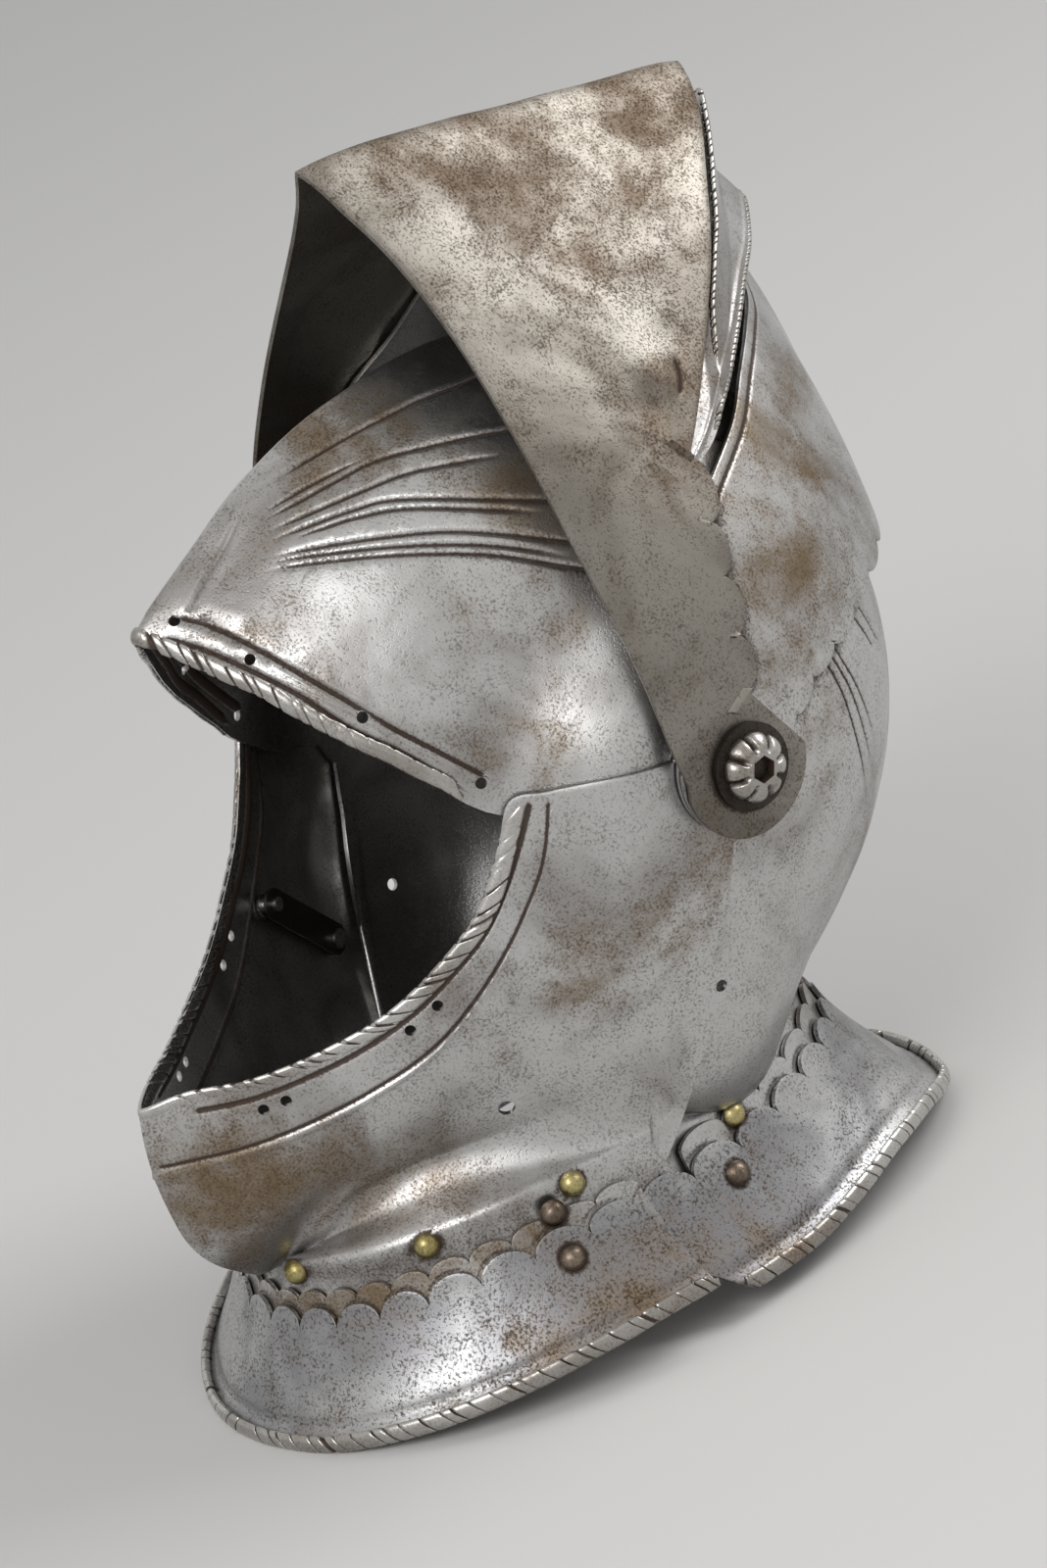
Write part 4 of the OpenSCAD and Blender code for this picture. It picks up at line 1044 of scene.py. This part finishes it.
# %% Dress the plates
CLOUDS = {
    "ventail": [(5, -4, 178, 18, 0.7), (10, 39, 167, 26, 0.8), (13, 82, 157, 22, 1.0),
                (40, 32, 138, 10, 0.6), (40, -9, 144, 9, 0.5), (63, -18, 114, 8, 0.5),
                (67, 36, 102, 6, 0.9), (81, 20, 84, 11, 0.9), (96, -18, 51, 10, 0.4),
                (103, -9, 29, 8, 0.5)],
    "skull": [(2, -43, 114, 10, 0.6), (13, -29, 113, 16, 1.0), (34, -19, 104, 18, 1.0),
              (53, -20, 89, 16, 1.0), (64, -18, 74, 10, 0.9), (61, -41, 65, 10, 0.6),
              (76, -22, 50, 7, 0.5), (78, -48, 19, 9, 0.8), (92, -29, 18, 8, 0.6),
              (92, 35, 1, 18, 0.7), (11, 85, -59, 22, 0.6)],
    "brow_plate": [(94, 21, 39, 16, 0.9), (83, 33, 63, 11, 0.7), (89, 43, 41, 14, 0.6),
                   (99, 17, 20, 11, 0.7), (88, 45, 45, 16, 1.0), (76, 66, 62, 15, 0.9),
                   (55, 92, 74, 15, 0.8), (93, 30, 22, 10, 0.9)],
    "bevor": [(12, -154, -80, 18, 0.9), (4, -164, -70, 11, 0.6), (25, -137, -76, 11, 0.4),
              (75, -57, -47, 11, 0.8), (63, -78, -59, 8, 0.6), (90, -31, -44, 10, 0.7),
              (95, -13, -33, 8, 0.6), (38, -107, -89, 14, 0.5), (89, -25, -60, 11, 0.6)],
    "front_neck_lame": [(15, -125, -125, 30, 0.9), (50, -105, -125, 22, 0.8)],
    "front_gorget_plate": [(33, -158, -160, 9, 0.6), (68, -130, -157, 9, 0.6),
                           (83, -104, -151, 8, 0.7), (92, -75, -147, 7, 0.6)],
}


def from_pivot(obj):
    """The vertices in millimetres from the middle of the pivot line."""
    return vertices(obj) / MM - [0, MID_Y, PIVOT_Z]


def rusted(obj, clouds):
    """How near each vertex is to the places where rust began."""
    co = from_pivot(obj)
    amount = np.zeros(len(co))
    for x, y, z, reach, strength in clouds:
        away = ((co - [x, y, z]) ** 2).sum(1)
        amount = np.maximum(amount, strength * np.exp(-away / (1.5 * reach) ** 2))
    painted(obj, "film", amount)


def soiled_and_shaded(obj, away, wide, most):
    """Adds darkening that thins out over a width, given each vertex's distance: dirt, and painted
    shade along plate edges and round heads.
    """
    value = np.empty(len(obj.data.vertices), np.float32)
    obj.data.attributes["grime_and_shade"].data.foreach_get("value", value)
    painted(obj, "grime_and_shade", np.maximum(value, most * bell(away, wide)))


def left_half(obj):
    """The same, folded to the left side."""
    co = from_pivot(obj)
    co[:, 0] = np.abs(co[:, 0])
    return co


def dress(obj, body, node, outside, inside, slot):
    obj.data.materials.clear()
    for material in (outside, inside):
        if material:
            obj.data.materials.append(material)
    rusted(obj, CLOUDS.get(node, ()))
    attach(obj, body)
    if node:
        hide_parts(node)


plates = [
    (skull, "helmet", "skull", plate_steel, forge_black, "steel"),
    (brow_plate, "brow_plate", "brow_plate", plate_steel, forge_black, "dark_steel"),
    (visor, "visor", "visor", plate_steel, forge_black, "steel"),
    (ventail, "ventail", "ventail", browned_steel, forge_black, "steel"),
    (bevor, "bevor", "bevor", plate_steel, forge_black, "steel"),
    (front_lame, "bevor", "front_neck_lame", plate_steel, forge_black, "steel"),
    (front_plate, "bevor", "front_gorget_plate", gorget_steel, forge_black, "dark_steel"),
    (rear_lame, "helmet", "rear_neck_lame", plate_steel, forge_black, "steel"),
    (rear_plate, "helmet", "rear_gorget_plate", gorget_steel, forge_black, "dark_steel"),
    (rosettes[0], "helmet", "left_rosette", rope_steel, None, "steel"),
    (rosettes[1], "helmet", "right_rosette", rope_steel, None, "steel"),
]
# Dirt round the heads of rivets, studs, washers and the plume holder, 1.3 mm wide, which also
# paints the shade that the heads cast on the plate.
heads = [obj.matrix_world @ v.co for name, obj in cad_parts.items()
         if any(part in name for part in ("rivets", "studs", "washer", "plume_holder"))
         for v in obj.data.vertices]
tree = kdtree.KDTree(len(heads))
for i, place in enumerate(heads):
    tree.insert(place, i)
tree.balance()
for plate in plates:
    if plate[4]:
        away = np.array([tree.find(v.co)[2] for v in plate[0].data.vertices]) / MM
        soiled_and_shaded(plate[0], away, 1.3, 0.9)
    dress(*plate)
# Painted shade: a dark band, 5.5 mm wide, on the skull and the brow plate along the scalloped
# edges of the brow plate and the ventail that lie over them.
for obj, table, level, edge in (
        (skull, SKULL, 0, scalloped(BROW_CUSPS, 14, -0.18)),
        (brow_plate, BROW, 2, np.concatenate([scalloped(VENT_CUSPS, 16, -0.3), VENT_REAR[:3]])),
        (skull, SKULL, 0, scalloped(VENT_CUSPS, 16, -0.3))):
    line = chart_line(edge, len(edge) - 1, table, level)
    soiled_and_shaded(obj, nearest(left_half(obj), [line]), 5.5, 0.75)
for obj, body in ropes:
    dress(obj, body, None, rope_steel, None, "steel")

# %% Finish of the nodes that stay
finishes = {"steel": rope_steel, "dark_steel": dark_iron, "brass": aged_brass,
            "bronze": brown_bronze}
node_finish = {"plume_holder": "brass", "plume_holder_rivets": "brass", "bevor_studs": "brass",
               "rear_lame_rivets": "brass", "front_lame_rivets": "bronze",
               "front_plate_rivets": "bronze", "rear_plate_rivets": "bronze",
               "latch_stud": "steel", "latch_rivet": "steel"}
replaced = {p[2] for p in plates}
for name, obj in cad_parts.items():
    if name not in replaced:
        finish = node_finish.get(name, "dark_steel")
        obj.data.materials.clear()
        obj.data.materials.append(finishes[finish])
        shaded(obj, 35)

# %% [markdown]
# ## Studio
# The floor is a plain pale sheet, and the world is a soft white tent. Two wide
# lamps stand where the photograph's highlights come from: one on the camera's
# left, one behind on the right.

# %% Floor, world and lamps
bpy.ops.mesh.primitive_plane_add(size=8, location=(0, 0, 0))
floor = bpy.context.active_object
floor.name = "floor"
floor_material, tree = fresh("pale_floor")
finish_surface(tree, add(tree, "ShaderNodeBsdfPrincipled",
                         {"Base Color": linear("#dcdad6"), "Roughness": 0.9}))
floor.data.materials.append(floor_material)

world = bpy.data.worlds.new("white_tent")
bpy.context.scene.world = world
world.use_nodes = True
tree = world.node_tree
tree.nodes.clear()
rays = add(tree, "ShaderNodeLightPath")
seen = add(tree, "ShaderNodeMath", {0: rays.outputs["Is Camera Ray"],
                                    1: rays.outputs["Is Glossy Ray"]}, operation="MAXIMUM")
seen = add(tree, "ShaderNodeMath", {0: seen.outputs[0], 1: rays.outputs["Is Transmission Ray"]},
           operation="MAXIMUM")
lit = add(tree, "ShaderNodeBackground", {"Color": linear("#d9dbe0"), "Strength": 0.6})
shown = add(tree, "ShaderNodeBackground", {"Color": linear("#e6e5e3"), "Strength": 0.9})
mixed = add(tree, "ShaderNodeMixShader", {0: seen.outputs[0], 1: lit.outputs[0],
                                          2: shown.outputs[0]})
add(tree, "ShaderNodeOutputWorld", {"Surface": mixed.outputs[0]})


def lamp(name, place, size, watts):
    data = bpy.data.lights.new(name, "AREA")
    data.size, data.energy = size, watts
    obj = bpy.data.objects.new(name, data)
    obj.location = place
    aim = Vector((0, 0, 0.16)) - Vector(place)
    obj.rotation_euler = aim.to_track_quat("-Z", "Y").to_euler()
    bpy.context.scene.collection.objects.link(obj)


lamp("left_softbox", (0.85, -1.35, 1.4), 1.1, 16)
lamp("rear_softbox", (0.5, 1.5, 1.5), 1.0, 18)

bpy.context.scene.view_settings.view_transform = "Standard"
